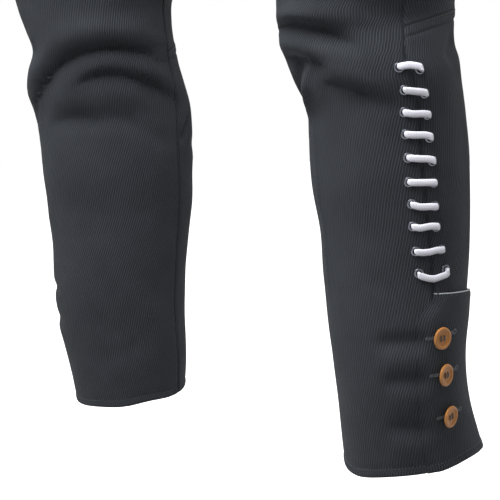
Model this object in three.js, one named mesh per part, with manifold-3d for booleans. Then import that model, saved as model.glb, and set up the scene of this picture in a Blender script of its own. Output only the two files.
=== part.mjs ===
// Jodhpurs: riding breeches with flared thighs, laced calves and buttoned cuffs.
// Millimetres, +Z up. The garment's front faces -Y and the wearer's left is +X.
// The origin is the middle of the waist opening, level with the waistband's top edge.
//
// Each leg is a stack of oval sections from the hem to the fork, where the two legs meet. Above the fork
// the sections open out into half ovals, from the centre front round the side to the centre back.
// A place on the cloth is given by `round` and `level`:
//   level  millimetres above the hem, measured at the side of the leg
//   round  0 at the inseam or centre front, 0.5 at the side seam, 1 at the inseam or centre back

import * as THREE from 'three';
import { mergeVertices } from 'three/addons/utils/BufferGeometryUtils.js';
import Module from 'manifold-3d';

const wasm = await Module();
wasm.setup();

// ---------------------------------------------------------------- driving sizes

const LENGTH = 950; // hem to the waistband's top edge, along the side
const FORK = 660; // level of the fork
const RISE = 90; // height in which the crotch seam turns up to the centre front and back
const CENTRE_REACH = 0.3; // how far round from the centre that turn is felt
const CLOTH = 2; // thickness of the twill
const SEAM = 0.3; // gap between two pieces
const MERGE = 1e-4; // points closer than this are one
const SECTION_TURN = 52; // degrees from the leg's front towards its outer side: the ovals' long axis
const HEM_SLOPE = { out: 0.061, back: 0.143 }; // rise of a section towards the outer side and the back
const SLOPE_ENDS = { full: 400, level: 640 }; // levels between which the sections turn horizontal
const KNEE_SEAM = 345.5; // level of the seam between the thigh's back and the calf's back
const KNEE_RISE = { high: 10, reach: 60 }; // how far it rises round the back, and how far off that is felt
const BAND_HEIGHT = 38; // waistband
const BAND_CLOTH = 2.4; // the waistband's two layers
const BAND_BOTTOM = LENGTH - BAND_HEIGHT;

const EYELET = { outer: 4.6, hole: 2.3, crown: 3.3, height: 1.1, sides: 8, clothHole: 2.7, clothSides: 6 };
const LACE = {
  halfWidth: 2.7,
  halfThick: 1.25,
  halfRound: 1.5, // where it is drawn together in an eyelet and inside the leg
  sides: 6,
  end: 12, // length of a tucked end
  slack: 1.6, // between the cloth and the lace inside the leg
  spring: 0.3, // between an eyelet's crown and the lace
  rimReach: 1.7, // from an eyelet's middle to where the lace lies flat on its rim
  flatReach: 4.8, // and to where it leaves the rim
  holeLift: { above: 1.2, below: -1 }, // levels at which it turns into the hole
};
const BUTTON = {
  radius: 9,
  thick: 3.4,
  widest: 0.4, // share of the thickness at which it is widest
  rim: 1.3,
  dish: 0.8,
  sides: 14,
  holeRadius: 1,
  holeSides: 5,
  holeSpread: 2.1,
  lean: 8, // degrees by which the cuff's buttons lean towards the back on their threads
};

// In degrees: how much further back the lower leg's seams, slit and cuff lie on either leg, because the
// right leg is turned out a little more than the left. It fades out above the knee.
const TURN_OUT = {
  left: { inseam: -18, side: 0 },
  right: { inseam: 0, side: 18 },
  full: 380,
  none: 560,
};

// The cuff's tab. Its front edge is cut back at the upper corner, and its top edge falls towards the back.
const TAB = {
  top: 148,
  fall: 0.2, // for each degree from the corner
  corner: 0.86, // share of its height at which the front edge turns back
  cornerReach: 12.5,
  frontAngle: 47.5,
  backAngle: 170,
  lift: 1.1,
  columns: 10,
};
const TAB_ROWS = [0, 0.27, 0.54, 0.76, TAB.corner, (TAB.corner + 1) / 2, 1]; // shares of its height
// How far the leg is drawn in under the tab, about a level and an angle.
const CUFF_DRAW = { level: 95, half: 58, angle: 128, spread: 52, deep: 4 };
const CUFF_BUTTONS = [
  { level: 113, angle: 63 },
  { level: 82.5, angle: 65.5 },
  { level: 45.5, angle: 69 },
];
const FLY = { bottom: 748, curve: 45, left: 37, right: 5, lift: 0.8, columns: 6, gap: 1 };
const FLY_ROWS = [0, 0.06, 0.13, 0.25, 0.5, 0.75, 1]; // shares of its height, closer where its edge curves

// The waistband is one strip that laps left over right at the centre front. Degrees round the waist from
// the centre front, by way of the wearer's left.
const BAND = { start: -9, dip: 318, under: 343, end: 369, columns: 48, lift: 0.4 };

// ---------------------------------------------------------------- tables

// Oval sections of the left leg: centre, and radii along the long axis and across it. Above the fork they
// go on, and are blended into the hips.
const FORK_RADII = { long: 116, short: 108 };
const turned = THREE.MathUtils.degToRad(SECTION_TURN);
const FORK_REACH = Math.hypot(FORK_RADII.long * Math.sin(turned), FORK_RADII.short * Math.cos(turned));
const LEG_SECTIONS = [
  { level: 0, x: 182, y: 13, long: 58, short: 57.5 },
  { level: 40, x: 178, y: 5, long: 63, short: 54 },
  { level: 80, x: 178, y: -1.5, long: 67, short: 54 },
  { level: 120, x: 177.5, y: -4, long: 68.5, short: 58 },
  { level: 160, x: 175, y: -4.5, long: 70.5, short: 60 },
  { level: 200, x: 173.5, y: -6, long: 75, short: 61 },
  { level: 240, x: 172, y: -10.5, long: 77.5, short: 64 },
  { level: 280, x: 170.5, y: -15, long: 79, short: 63 },
  { level: 300, x: 170.5, y: -19, long: 80, short: 62 },
  { level: 320, x: 169, y: -27, long: 79.5, short: 64.5 },
  { level: 340, x: 166, y: -33, long: 75.5, short: 67 },
  { level: 360, x: 163.5, y: -34.5, long: 70.5, short: 71 },
  { level: 380, x: 165.5, y: -38.5, long: 72.5, short: 71.5 },
  { level: 400, x: 167, y: -42, long: 76.5, short: 71 },
  { level: 440, x: 164, y: -43, long: 87.5, short: 76 },
  { level: 500, x: 154, y: -38, long: 103, short: 87 },
  { level: 560, x: 141, y: -29, long: 112, short: 97 },
  { level: 620, x: 126, y: -18, long: 115, short: 104 },
  { level: FORK, x: FORK_REACH + SEAM / 2, y: -9, long: FORK_RADII.long, short: FORK_RADII.short },
  { level: FORK + RISE, x: 101.5, y: -4, long: 104, short: 98 },
];

// Ovals of the whole garment above the fork: half its width, half its depth, the centre, and how square
// it is, 2 being an ellipse.
const HIP_SECTIONS = [
  { level: FORK, wide: 210, deep: 122, y: 2, square: 2.4 },
  { level: 700, wide: 204, deep: 124, y: 4, square: 2.4 },
  { level: 760, wide: 193, deep: 125, y: 5, square: 2.35 },
  { level: 830, wide: 178, deep: 120, y: 4, square: 2.2 },
  { level: 880, wide: 167, deep: 114.5, y: 2, square: 2.1 },
  { level: 915, wide: 161, deep: 112.5, y: 0, square: 2 },
  { level: LENGTH, wide: 160, deep: 112, y: 0, square: 2 },
];

// Eyelets from the top row down: level, and distance from the slit to an eyelet's middle, in the edge of the
// front and in the edge of the calf.
const EYELET_ROWS = [
  { front: { level: 325, from: 8 }, back: { level: 321.5, from: 7.3 } },
  { front: { level: 308.5, from: 8.6 }, back: { level: 304, from: 6.2 } },
  { front: { level: 292.5, from: 11.4 }, back: { level: 288, from: 6.5 } },
  { front: { level: 276, from: 11.4 }, back: { level: 270.5, from: 7.1 } },
  { front: { level: 258, from: 11 }, back: { level: 252.5, from: 8 } },
  { front: { level: 239.5, from: 11.8 }, back: { level: 236, from: 7.6 } },
  { front: { level: 222.5, from: 11.3 }, back: { level: 218, from: 6.5 } },
  { front: { level: 205, from: 12.3 }, back: { level: 201.5, from: 6.3 } },
  { front: { level: 185, from: 12 }, back: { level: 182.5, from: 9.4 } },
  { front: { level: 167, from: 11.2 }, back: { level: 165.5, from: 12.4 } },
];

// Where the seams run, in degrees from the leg's front, outwards being positive.
const uneven = (FORK_RADII.long ** 2 - FORK_RADII.short ** 2) * Math.sin(turned) * Math.cos(turned);
const FORK_ANGLE = -90 - THREE.MathUtils.radToDeg(Math.atan2(uneven, FORK_REACH ** 2));
const INSEAM = [
  { level: 0, angle: -108 },
  { level: 160, angle: -105 },
  { level: 270, angle: -104 },
  { level: 330, angle: -110 },
  { level: 400, angle: -110 },
  { level: 560, angle: -101 },
  { level: FORK, angle: FORK_ANGLE },
];
const SIDE_SEAM = [
  { level: 0, angle: 62 },
  { level: 155, angle: 60 },
  { level: 200, angle: 56.5 },
  { level: 260, angle: 55 },
  { level: 330, angle: 56 },
  { level: 350, angle: 59.5 },
  { level: 375, angle: 61.5 },
  { level: 440, angle: 70 },
  { level: 560, angle: 82 },
  { level: FORK, angle: 86 },
];

// Largest folds: a soft trough along a curve from one place to another past a third, with a swelling
// below it. Angles in degrees from the leg's front, levels, depth and half width in millimetres.
const FOLDS = {
  left: [
    { from: [-45, 370], past: [6, 370], to: [38, 334], deep: 6, half: 6 },
    { from: [-50, 344], past: [-8, 344], to: [16, 322], deep: 6, half: 6 },
    { from: [-10, 315], past: [12, 324], to: [32, 298], deep: 3, half: 6 },
    { from: [-70, 352], past: [-95, 338], to: [-125, 348], deep: 4, half: 7 },
    { from: [112, 344], past: [95, 336], to: [84, 320], deep: 3, half: 7 },
    { from: [150, 352], past: [180, 340], to: [215, 350], deep: 5, half: 8 },
    { from: [140, 322], past: [175, 312], to: [220, 326], deep: 4, half: 8 },
    { from: [20, 640], past: [45, 610], to: [75, 560], deep: 4, half: 14 },
    { from: [150, 610], past: [190, 590], to: [235, 620], deep: 5, half: 12 },
  ],
  right: [
    { from: [36, 300], past: [-21, 404], to: [-98, 342], deep: 7, half: 7 },
    { from: [-16, 322], past: [-62, 360], to: [-112, 302], deep: 6, half: 5.5 },
    { from: [18, 288], past: [-10, 315], to: [-48, 292], deep: 2.2, half: 5 },
    { from: [-107, 262], past: [-112, 278], to: [-124, 290], deep: 3, half: 5 },
    { from: [40, 366], past: [70, 372], to: [100, 356], deep: 4, half: 8 },
    { from: [150, 352], past: [180, 340], to: [215, 350], deep: 5, half: 8 },
    { from: [140, 322], past: [175, 312], to: [220, 326], deep: 4, half: 8 },
    { from: [20, 650], past: [45, 620], to: [75, 570], deep: 4, half: 14 },
    { from: [150, 600], past: [190, 585], to: [235, 612], deep: 5, half: 12 },
  ],
};
const FOLD_STEPS = 32; // stretches in which a fold's curve is measured
const FOLD_FADE = 0.3; // share of a fold's length in which it dies out at either end
const FOLD_REACH = { level: 90, angle: 130 }; // no fold is felt further than this from its middle
const SWELLING = { share: 0.3, below: 1.9, half: 1.2 }; // in shares of a fold's depth and half width

// Levels of the grid's rows.
const CALF_ROWS = [0, 40, 80, 120, 160, 200, 240, 270, 295, 312, 324, 335];
const KNEE_ROWS = [355, 366, 378, 395]; // the front has a row at the knee seam too
const THIGH_ROWS = [430, 475, 520, 565, 610, 640, FORK];
const SEAT_ROWS = [0.1, 0.25, 0.45, 0.7, 1].map((share) => FORK + share * RISE);
const TOP_ROWS = [800, 860, BAND_BOTTOM];
const FRONT_COLUMNS = 12;
const BACK_COLUMNS = 12;

// ---------------------------------------------------------------- colours

const twill = new THREE.MeshStandardMaterial({ color: 0x3a3e42, roughness: 0.9, metalness: 0 });
const laceCord = new THREE.MeshStandardMaterial({ color: 0xe4e2ee, roughness: 0.8, metalness: 0 });
const gunmetal = new THREE.MeshStandardMaterial({ color: 0x6d6f74, roughness: 0.4, metalness: 0.9 });
const wood = new THREE.MeshStandardMaterial({ color: 0xad7435, roughness: 0.5, metalness: 0 });

// ---------------------------------------------------------------- the form

const smooth = (t) => {
  const c = Math.min(Math.max(t, 0), 1);
  return c * c * (3 - 2 * c);
};

// A smooth curve through one column of a table, by level.
function read(table, column, level) {
  const last = table.length - 1;
  if (level <= table[0].level) return table[0][column];
  if (level >= table[last].level) return table[last][column];
  const i = table.findIndex((row) => row.level > level) - 1;
  const slopeAt = (k) => {
    const a = table[Math.max(k - 1, 0)];
    const b = table[Math.min(k + 1, last)];
    return (b[column] - a[column]) / (b.level - a.level);
  };
  const span = table[i + 1].level - table[i].level;
  const t = (level - table[i].level) / span;
  return table[i][column] * (1 + 2 * t) * (1 - t) ** 2 + table[i + 1][column] * t * t * (3 - 2 * t)
    + span * (slopeAt(i) * t * (1 - t) ** 2 + slopeAt(i + 1) * t * t * (t - 1));
}

function seamAngle(side, seam, level) {
  const table = seam === 'side' ? SIDE_SEAM : INSEAM;
  const low = 1 - smooth((level - TURN_OUT.full) / (TURN_OUT.none - TURN_OUT.full));
  return read(table, 'angle', Math.min(level, FORK)) + low * TURN_OUT[side][seam];
}

function angleOfRound(side, round, level) {
  const inner = seamAngle(side, 'inseam', level);
  const outer = seamAngle(side, 'side', level);
  return round <= 0.5 ? inner + 2 * round * (outer - inner) : outer + (2 * round - 1) * (inner + 360 - outer);
}

function roundOfAngle(side, angle, level) {
  const inner = seamAngle(side, 'inseam', level);
  const outer = seamAngle(side, 'side', level);
  if (angle <= outer) return 0.5 * (angle - inner) / (outer - inner);
  return 0.5 + 0.5 * (angle - outer) / (inner + 360 - outer);
}

function legRadius(angle, level) {
  const off = THREE.MathUtils.degToRad(angle) - turned;
  const along = Math.cos(off) / read(LEG_SECTIONS, 'long', level);
  const across = Math.sin(off) / read(LEG_SECTIONS, 'short', level);
  return 1 / Math.hypot(along, across);
}

// A point of one leg's bare oval form, both legs being made on the left.
function legForm(side, round, level) {
  const angle = angleOfRound(side, round, level);
  const radius = legRadius(angle, level);
  const out = radius * Math.sin(THREE.MathUtils.degToRad(angle));
  const back = -radius * Math.cos(THREE.MathUtils.degToRad(angle));
  const slope = 1 - smooth((level - SLOPE_ENDS.full) / (SLOPE_ENDS.level - SLOPE_ENDS.full));
  return new THREE.Vector3(
    read(LEG_SECTIONS, 'x', level) + out,
    read(LEG_SECTIONS, 'y', level) + back,
    level - LENGTH + slope * (HEM_SLOPE.out * out + HEM_SLOPE.back * back));
}

// A point of the half oval above the crotch seam. Near the fork the points crowd towards the centre front
// and back, as they do where the leg's oval touches the other leg's.
function hipForm(round, level) {
  const crowded = Math.asin(Math.min(Math.sin(Math.PI * round) ** 2, 1));
  const even = Math.PI * Math.min(round, 1 - round);
  const angle = THREE.MathUtils.lerp(crowded, even, smooth((level - FORK) / (BAND_BOTTOM - FORK)));
  const power = 2 / read(HIP_SECTIONS, 'square', level);
  const depth = read(HIP_SECTIONS, 'deep', level) * Math.cos(angle) ** power;
  return new THREE.Vector3(
    read(HIP_SECTIONS, 'wide', level) * Math.sin(angle) ** power,
    read(HIP_SECTIONS, 'y', level) + (round < 0.5 ? -depth : depth),
    level - LENGTH);
}

// One half of the bare form, on the left. Past the centre front or back it goes on as its own mirror image.
function form(side, round, level) {
  if (level <= FORK) return legForm(side, round, level);
  if (round < 0 || round > 1) {
    const mirrored = form(side, round < 0 ? -round : 2 - round, level);
    return mirrored.setX(-mirrored.x);
  }
  const point = hipForm(round, level);
  const share = (level - FORK) / RISE;
  if (share < 1) {
    const turn = share * Math.PI / 2;
    const nearCentre = 1 - smooth(Math.min(round, 1 - round) / CENTRE_REACH);
    const risen = THREE.MathUtils.lerp(share, 1 - Math.cos(turn), nearCentre);
    const opened = THREE.MathUtils.lerp(smooth(share), Math.sin(turn), nearCentre);
    point.lerpVectors(legForm(side, round, level), point, opened);
    point.z = FORK + RISE * risen - LENGTH;
  }
  return point;
}

// Where two tangents of the form are wanted, it is measured this far to either side.
const PROBE = { round: 0.004, level: 1, folded: 1.5 };

function outward(side, round, level) {
  const atFork = Math.abs(level - FORK) < PROBE.level && Math.min(round, 1 - round) < PROBE.round;
  const at = atFork ? FORK + 2 * PROBE.level : level;
  const before = form(side, round - PROBE.round, at);
  const under = form(side, round, Math.max(at - PROBE.level, 0));
  const alongRound = form(side, round + PROBE.round, at).sub(before);
  const alongLevel = form(side, round, Math.min(at + PROBE.level, LENGTH)).sub(under);
  return alongRound.cross(alongLevel).normalize();
}

// How far the leg is drawn in under the tab.
function drawnIn(side, turn, level) {
  const up = (level - CUFF_DRAW.level) / CUFF_DRAW.half;
  const across = (turn - TURN_OUT[side].side - CUFF_DRAW.angle) / CUFF_DRAW.spread;
  return CUFF_DRAW.deep * Math.exp(-(up ** 2) - across ** 2);
}

// How far the folds and the drawing in move a place on the cloth outwards.
function foldOffset(side, round, level) {
  if (level > FORK) return 0;
  const turn = angleOfRound(side, round, level);
  const perDegree = THREE.MathUtils.degToRad(legRadius(turn, level));
  let offset = -drawnIn(side, turn, level);
  for (const fold of FOLDS[side]) {
    for (const angle of [turn, turn - 360, turn + 360]) {
      const middle = (fold.from[1] + fold.to[1]) / 2;
      const facing = (fold.from[0] + fold.to[0]) / 2;
      const far = Math.abs(level - middle) > FOLD_REACH.level;
      if (far || Math.abs(angle - facing) > FOLD_REACH.angle) continue;
      let nearest = Infinity;
      let below = 0;
      let along = 0;
      for (let k = 0; k <= FOLD_STEPS; k++) {
        const t = k / FOLD_STEPS;
        const bend = [0, 1].map((axis) =>
          (1 - t) ** 2 * fold.from[axis] + 2 * t * (1 - t) * fold.past[axis] + t * t * fold.to[axis]);
        const across = (angle - bend[0]) * perDegree;
        const up = level - bend[1];
        const distance = Math.hypot(across, up);
        if (distance < nearest) {
          nearest = distance;
          below = up < 0 ? distance : -distance;
          along = t;
        }
      }
      const fade = smooth(along / FOLD_FADE) * smooth((1 - along) / FOLD_FADE);
      const trough = Math.exp(-((below / fold.half) ** 2));
      const swollen = (below / fold.half - SWELLING.below) / SWELLING.half;
      const swelling = SWELLING.share * Math.exp(-(swollen ** 2));
      offset += fold.deep * fade * (swelling - trough);
    }
  }
  return offset;
}

// A place on one leg's cloth, moved out from the outer face by `lift`.
function cloth(side, round, level, lift = 0) {
  const normal = outward(side, round, level);
  const point = form(side, round, level).addScaledVector(normal, lift + foldOffset(side, round, level));
  const centred = level > FORK - 1 && round >= 0 && round <= 1;
  if (centred) point.x = Math.max(point.x, SEAM / 2);
  return side === 'left' ? point : point.setX(-point.x);
}

// ---------------------------------------------------------------- solids

// A wall between an outer and an inner grid, each a list of rows of points.
function wall(outer, inner, flip) {
  const rows = outer.length;
  const columns = outer[0].length;
  const places = [];
  const faces = [];
  for (const grid of [outer, inner]) for (const row of grid) for (const p of row) places.push(p.x, p.y, p.z);
  const out = (r, c) => r * columns + c;
  const inn = (r, c) => rows * columns + r * columns + c;
  const quad = (a, b, c, d) => (flip ? faces.push(a, c, b, a, d, c) : faces.push(a, b, c, a, c, d));
  for (let r = 0; r + 1 < rows; r++) {
    for (let c = 0; c + 1 < columns; c++) {
      quad(out(r, c), out(r, c + 1), out(r + 1, c + 1), out(r + 1, c));
      quad(inn(r, c), inn(r + 1, c), inn(r + 1, c + 1), inn(r, c + 1));
    }
    quad(inn(r, 0), out(r, 0), out(r + 1, 0), inn(r + 1, 0));
    quad(out(r, columns - 1), inn(r, columns - 1), inn(r + 1, columns - 1), out(r + 1, columns - 1));
  }
  for (let c = 0; c + 1 < columns; c++) {
    quad(inn(0, c), inn(0, c + 1), out(0, c + 1), out(0, c));
    quad(out(rows - 1, c), out(rows - 1, c + 1), inn(rows - 1, c + 1), inn(rows - 1, c));
  }
  const geometry = new THREE.BufferGeometry();
  geometry.setAttribute('position', new THREE.Float32BufferAttribute(places, 3));
  geometry.setIndex(faces);
  return geometry;
}

// Levels of the back's and the calf's rows: they rise with the knee seam round the back of the leg.
function risen(round, level) {
  const near = 1 - smooth(Math.abs(level - KNEE_SEAM) / KNEE_RISE.reach);
  return level + KNEE_RISE.high * near * Math.sin(Math.PI * Math.max(2 * round - 1, 0));
}

// A panel of a leg or of the seat, between two seams.
function panel(side, levels, fromRound, toRound, columns) {
  const grid = (lift) => levels.map((level, row) => {
    const quarter = Math.PI / 2 * legRadius(0, Math.min(level, FORK)); // about a quarter of the way round
    const gap = SEAM / 2 / (4 * quarter);
    const start = level > FORK && fromRound === 0 ? 0 : fromRound + gap;
    const end = level > FORK && toRound === 1 ? 1 : toRound - gap;
    const rounds = Array.from({ length: columns + 1 }, (_, c) => start + (end - start) * c / columns);
    return rounds.map((round) => cloth(side, round, risen(round, level), lift));
  });
  return wall(grid(0), grid(-CLOTH), side === 'right');
}

function solidOf(geometry) {
  const bare = geometry.clone();
  bare.deleteAttribute('normal');
  bare.deleteAttribute('uv');
  const merged = mergeVertices(bare, MERGE);
  return new wasm.Manifold(new wasm.Mesh({
    numProp: 3,
    vertProperties: new Float32Array(merged.attributes.position.array),
    triVerts: new Uint32Array(merged.index.array),
  }));
}

function geometryOf(solid) {
  const mesh = solid.getMesh();
  const geometry = new THREE.BufferGeometry();
  geometry.setAttribute('position', new THREE.BufferAttribute(Float32Array.from(mesh.vertProperties), 3));
  geometry.setIndex(Array.from(mesh.triVerts));
  return geometry;
}

// Directions on one leg's cloth at a place: out of it, up along it, and round it towards the back.
function frameAt(side, round, level) {
  const hand = side === 'left' ? 1 : -1;
  const between = (from, to) => to.sub(from).normalize();
  const origin = cloth(side, round, level);
  const up = between(cloth(side, round, level - PROBE.folded), cloth(side, round, level + PROBE.folded));
  const rough = between(cloth(side, round - PROBE.round, level), cloth(side, round + PROBE.round, level));
  const out = new THREE.Vector3().crossVectors(rough, up).multiplyScalar(hand).normalize();
  const around = new THREE.Vector3().crossVectors(up, out).multiplyScalar(hand).normalize();
  return { origin, up, out, around };
}

// Stands a shape made about +Z on the cloth, with its foot `lift` above the outer face.
function seat(geometry, frame, lift) {
  const right = new THREE.Vector3().crossVectors(frame.up, frame.out);
  const basis = new THREE.Matrix4().makeBasis(right, frame.up, frame.out);
  return geometry.applyMatrix4(basis.setPosition(frame.origin.clone().addScaledVector(frame.out, lift)));
}

function cylinder(radius, height, sides) {
  return new THREE.CylinderGeometry(radius, radius, height, sides).rotateX(Math.PI / 2);
}

// Round of a place on the cloth that lies a distance from the slit, towards the back.
function besideSlit(side, level, distance) {
  const angle = seamAngle(side, 'side', level);
  return roundOfAngle(side, angle + THREE.MathUtils.radToDeg(distance / legRadius(angle, level)), level);
}

function eyeletPlaces(side) {
  const place = ({ level, from }, sign) => frameAt(side, besideSlit(side, level, sign * from), level);
  return {
    front: EYELET_ROWS.map(({ front }) => place(front, -1)),
    back: EYELET_ROWS.map(({ back }) => place(back, 1)),
  };
}

function punched(geometry, frames) {
  const punch = () => cylinder(EYELET.clothHole, 4 * CLOTH, EYELET.clothSides);
  const punches = frames.map((frame) => solidOf(seat(punch(), frame, 0)));
  return geometryOf(punches.reduce((solid, hole) => solid.subtract(hole), solidOf(geometry)));
}

function eyelet(frame) {
  const profile = [
    new THREE.Vector2(EYELET.hole, 0),
    new THREE.Vector2(EYELET.outer, 0),
    new THREE.Vector2(EYELET.crown, EYELET.height),
    new THREE.Vector2(EYELET.hole, 0),
  ];
  return seat(new THREE.LatheGeometry(profile, EYELET.sides).rotateX(Math.PI / 2), frame, SEAM);
}

// A button that leans `lean` degrees to its right.
function button(frame, lift, lean = 0) {
  const { radius, thick, widest, rim, dish } = BUTTON;
  const profile = [
    new THREE.Vector2(0, 0),
    new THREE.Vector2(radius, thick * widest),
    new THREE.Vector2(radius - rim / 2, thick),
    new THREE.Vector2(radius - 2 * rim, thick - dish),
    new THREE.Vector2(0, thick - dish),
  ];
  const disc = solidOf(new THREE.LatheGeometry(profile, BUTTON.sides).rotateX(Math.PI / 2));
  const drilled = [[-1, -1], [-1, 1], [1, -1], [1, 1]].reduce((solid, [x, y]) => {
    const drill = cylinder(BUTTON.holeRadius, 3 * thick, BUTTON.holeSides);
    return solid.subtract(solidOf(drill.translate(x * BUTTON.holeSpread, y * BUTTON.holeSpread, 0)));
  }, disc);
  return seat(geometryOf(drilled).rotateY(THREE.MathUtils.degToRad(lean)), frame, lift);
}

// A cord through given stations, each with a place, a width direction, half its width and half its thickness.
function sweep(stations, sides) {
  const places = [];
  const faces = [];
  stations.forEach((station, i) => {
    const before = stations[Math.max(i - 1, 0)].place;
    const after = stations[Math.min(i + 1, stations.length - 1)].place;
    const along = after.clone().sub(before).normalize();
    const wide = station.wide.clone().addScaledVector(along, -station.wide.dot(along)).normalize();
    const thick = new THREE.Vector3().crossVectors(along, wide);
    for (let k = 0; k < sides; k++) {
      const turn = 2 * Math.PI * k / sides;
      const p = station.place.clone()
        .addScaledVector(wide, station.halfWidth * Math.cos(turn))
        .addScaledVector(thick, station.halfThick * Math.sin(turn));
      places.push(p.x, p.y, p.z);
    }
  });
  const at = (i, k) => i * sides + (k % sides);
  for (let i = 0; i + 1 < stations.length; i++) {
    for (let k = 0; k < sides; k++) {
      faces.push(at(i, k), at(i, k + 1), at(i + 1, k + 1), at(i, k), at(i + 1, k + 1), at(i + 1, k));
    }
  }
  const last = stations.length - 1;
  for (let k = 1; k + 1 < sides; k++) {
    faces.push(at(0, 0), at(0, k + 1), at(0, k), at(last, 0), at(last, k), at(last, k + 1));
  }
  const geometry = new THREE.BufferGeometry();
  geometry.setAttribute('position', new THREE.Float32BufferAttribute(places, 3));
  geometry.setIndex(faces);
  return geometry;
}

// The lace: out of one eyelet, straight over the slit and into the other, then up inside the leg to the
// next row and back. Its two ends are tucked in behind the top and the bottom eyelet.
function laceStations(eyelets) {
  const stations = [];
  const inside = -(CLOTH + SEAM + LACE.halfRound + LACE.slack);
  const over = 2 * SEAM + EYELET.height + LACE.halfThick + LACE.spring;
  const mix = (a, b, t) => a.clone().lerp(b, t);
  const add = (frame, towards, reach, lift, wide, halves) => stations.push({
    place: frame.origin.clone().addScaledVector(frame.out, lift).addScaledVector(towards, reach),
    wide,
    ...halves,
  });
  const flat = { halfWidth: LACE.halfWidth, halfThick: LACE.halfThick };
  const drawn = { halfWidth: LACE.halfRound, halfThick: LACE.halfRound };
  for (let row = EYELET_ROWS.length - 1; row >= 0; row--) {
    const fromFront = row % 2 === 1;
    const start = eyelets[fromFront ? 'front' : 'back'][row];
    const end = eyelets[fromFront ? 'back' : 'front'][row];
    const across = end.origin.clone().sub(start.origin).normalize();
    const back = across.clone().negate();
    const middle = {
      origin: mix(start.origin, end.origin, 0.5),
      out: mix(start.out, end.out, 0.5).normalize(),
    };
    if (row === EYELET_ROWS.length - 1) add(start, start.up, -LACE.end, inside, start.around, drawn);
    add(start, across, 0, inside, mix(start.around, start.up, 0.5), drawn);
    add(start, across, 0, LACE.holeLift.below, start.up, drawn);
    add(start, across, 0, LACE.holeLift.above, start.up, drawn);
    add(start, across, LACE.rimReach, over, start.up, flat);
    add(start, across, LACE.flatReach, over, start.up, flat);
    add(middle, across, 0, over, mix(start.up, end.up, 0.5), flat);
    add(end, back, LACE.flatReach, over, end.up, flat);
    add(end, back, LACE.rimReach, over, end.up, flat);
    add(end, back, 0, LACE.holeLift.above, end.up, drawn);
    add(end, back, 0, LACE.holeLift.below, end.up, drawn);
    add(end, back, 0, inside, mix(end.around, end.up, 0.5), drawn);
    if (row === 0) add(end, end.up, LACE.end, inside, end.around, drawn);
  }
  return stations;
}

// ---------------------------------------------------------------- the garment

const garment = new THREE.Group();

function sew(name, geometry, material) {
  const mesh = new THREE.Mesh(geometry, material);
  mesh.name = name;
  garment.add(mesh);
}

function cuffTab(side) {
  const grid = (lift) => TAB_ROWS.map((share) => {
    const cut = TAB.cornerReach * smooth((share - TAB.corner) / (1 - TAB.corner));
    const first = TAB.frontAngle + cut;
    return Array.from({ length: TAB.columns + 1 }, (_, c) => {
      const angle = first + (TAB.backAngle - first) * c / TAB.columns;
      const top = TAB.top - TAB.fall * Math.max(angle - TAB.frontAngle - TAB.cornerReach, 0);
      const level = share * top;
      return cloth(side, roundOfAngle(side, angle + TURN_OUT[side].side, level), level, lift);
    });
  });
  return wall(grid(TAB.lift + CLOTH), grid(TAB.lift), side === 'right');
}

for (const side of ['left', 'right']) {
  const eyelets = eyeletPlaces(side);
  const upper = [...KNEE_ROWS, ...THIGH_ROWS, ...SEAT_ROWS, ...TOP_ROWS];
  const frontLevels = [...CALF_ROWS, KNEE_SEAM, ...upper];
  const backLevels = [KNEE_SEAM + SEAM / 2, ...upper];
  const calfLevels = [...CALF_ROWS, KNEE_SEAM - SEAM / 2];
  sew(`front_${side}`, punched(panel(side, frontLevels, 0, 0.5, FRONT_COLUMNS), eyelets.front), twill);
  sew(`back_${side}`, panel(side, backLevels, 0.5, 1, BACK_COLUMNS), twill);
  sew(`calf_${side}`, punched(panel(side, calfLevels, 0.5, 1, BACK_COLUMNS), eyelets.back), twill);
  sew(`tab_${side}`, cuffTab(side), twill);
  for (const column of ['front', 'back']) {
    eyelets[column].forEach((frame, row) => {
      sew(`eyelet_${side}_${column}_${row + 1}`, eyelet(frame), gunmetal);
    });
  }
  sew(`lace_${side}`, sweep(laceStations(eyelets), LACE.sides), laceCord);
  CUFF_BUTTONS.forEach(({ level, angle }, i) => {
    const frame = frameAt(side, roundOfAngle(side, angle + TURN_OUT[side].side, level), level);
    const lean = side === 'left' ? BUTTON.lean : -BUTTON.lean;
    sew(`cuff_button_${side}_${i + 1}`, button(frame, TAB.lift + CLOTH + SEAM, lean), wood);
  });
}

function waistPoint(degrees, level, lift) {
  const angle = THREE.MathUtils.degToRad(degrees);
  const wide = read(HIP_SECTIONS, 'wide', level);
  const deep = read(HIP_SECTIONS, 'deep', level);
  const y = read(HIP_SECTIONS, 'y', level) - deep * Math.cos(angle);
  const normal = new THREE.Vector3(Math.sin(angle) / wide, -Math.cos(angle) / deep, 0).normalize();
  return new THREE.Vector3(wide * Math.sin(angle), y, level - LENGTH).addScaledVector(normal, lift);
}

function waistband() {
  const levels = [BAND_BOTTOM + SEAM, LENGTH];
  const grid = (lift) => levels.map((level) => Array.from({ length: BAND.columns + 1 }, (_, c) => {
    const degrees = BAND.start + (BAND.end - BAND.start) * c / BAND.columns;
    const dip = smooth((degrees - BAND.dip) / (BAND.under - BAND.dip)) * (BAND_CLOTH + SEAM);
    return waistPoint(degrees, level, lift - dip);
  }));
  return wall(grid(BAND.lift), grid(BAND.lift - BAND_CLOTH), false);
}

const HALVINGS = 30;

// How far round the front a place x from the centre front lies.
function roundAt(x, level) {
  let near = 0;
  let far = 0.5;
  for (let halving = 0; halving < HALVINGS; halving++) {
    const middle = (near + far) / 2;
    if (form('left', middle, level).x < x) near = middle;
    else far = middle;
  }
  return near;
}

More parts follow.
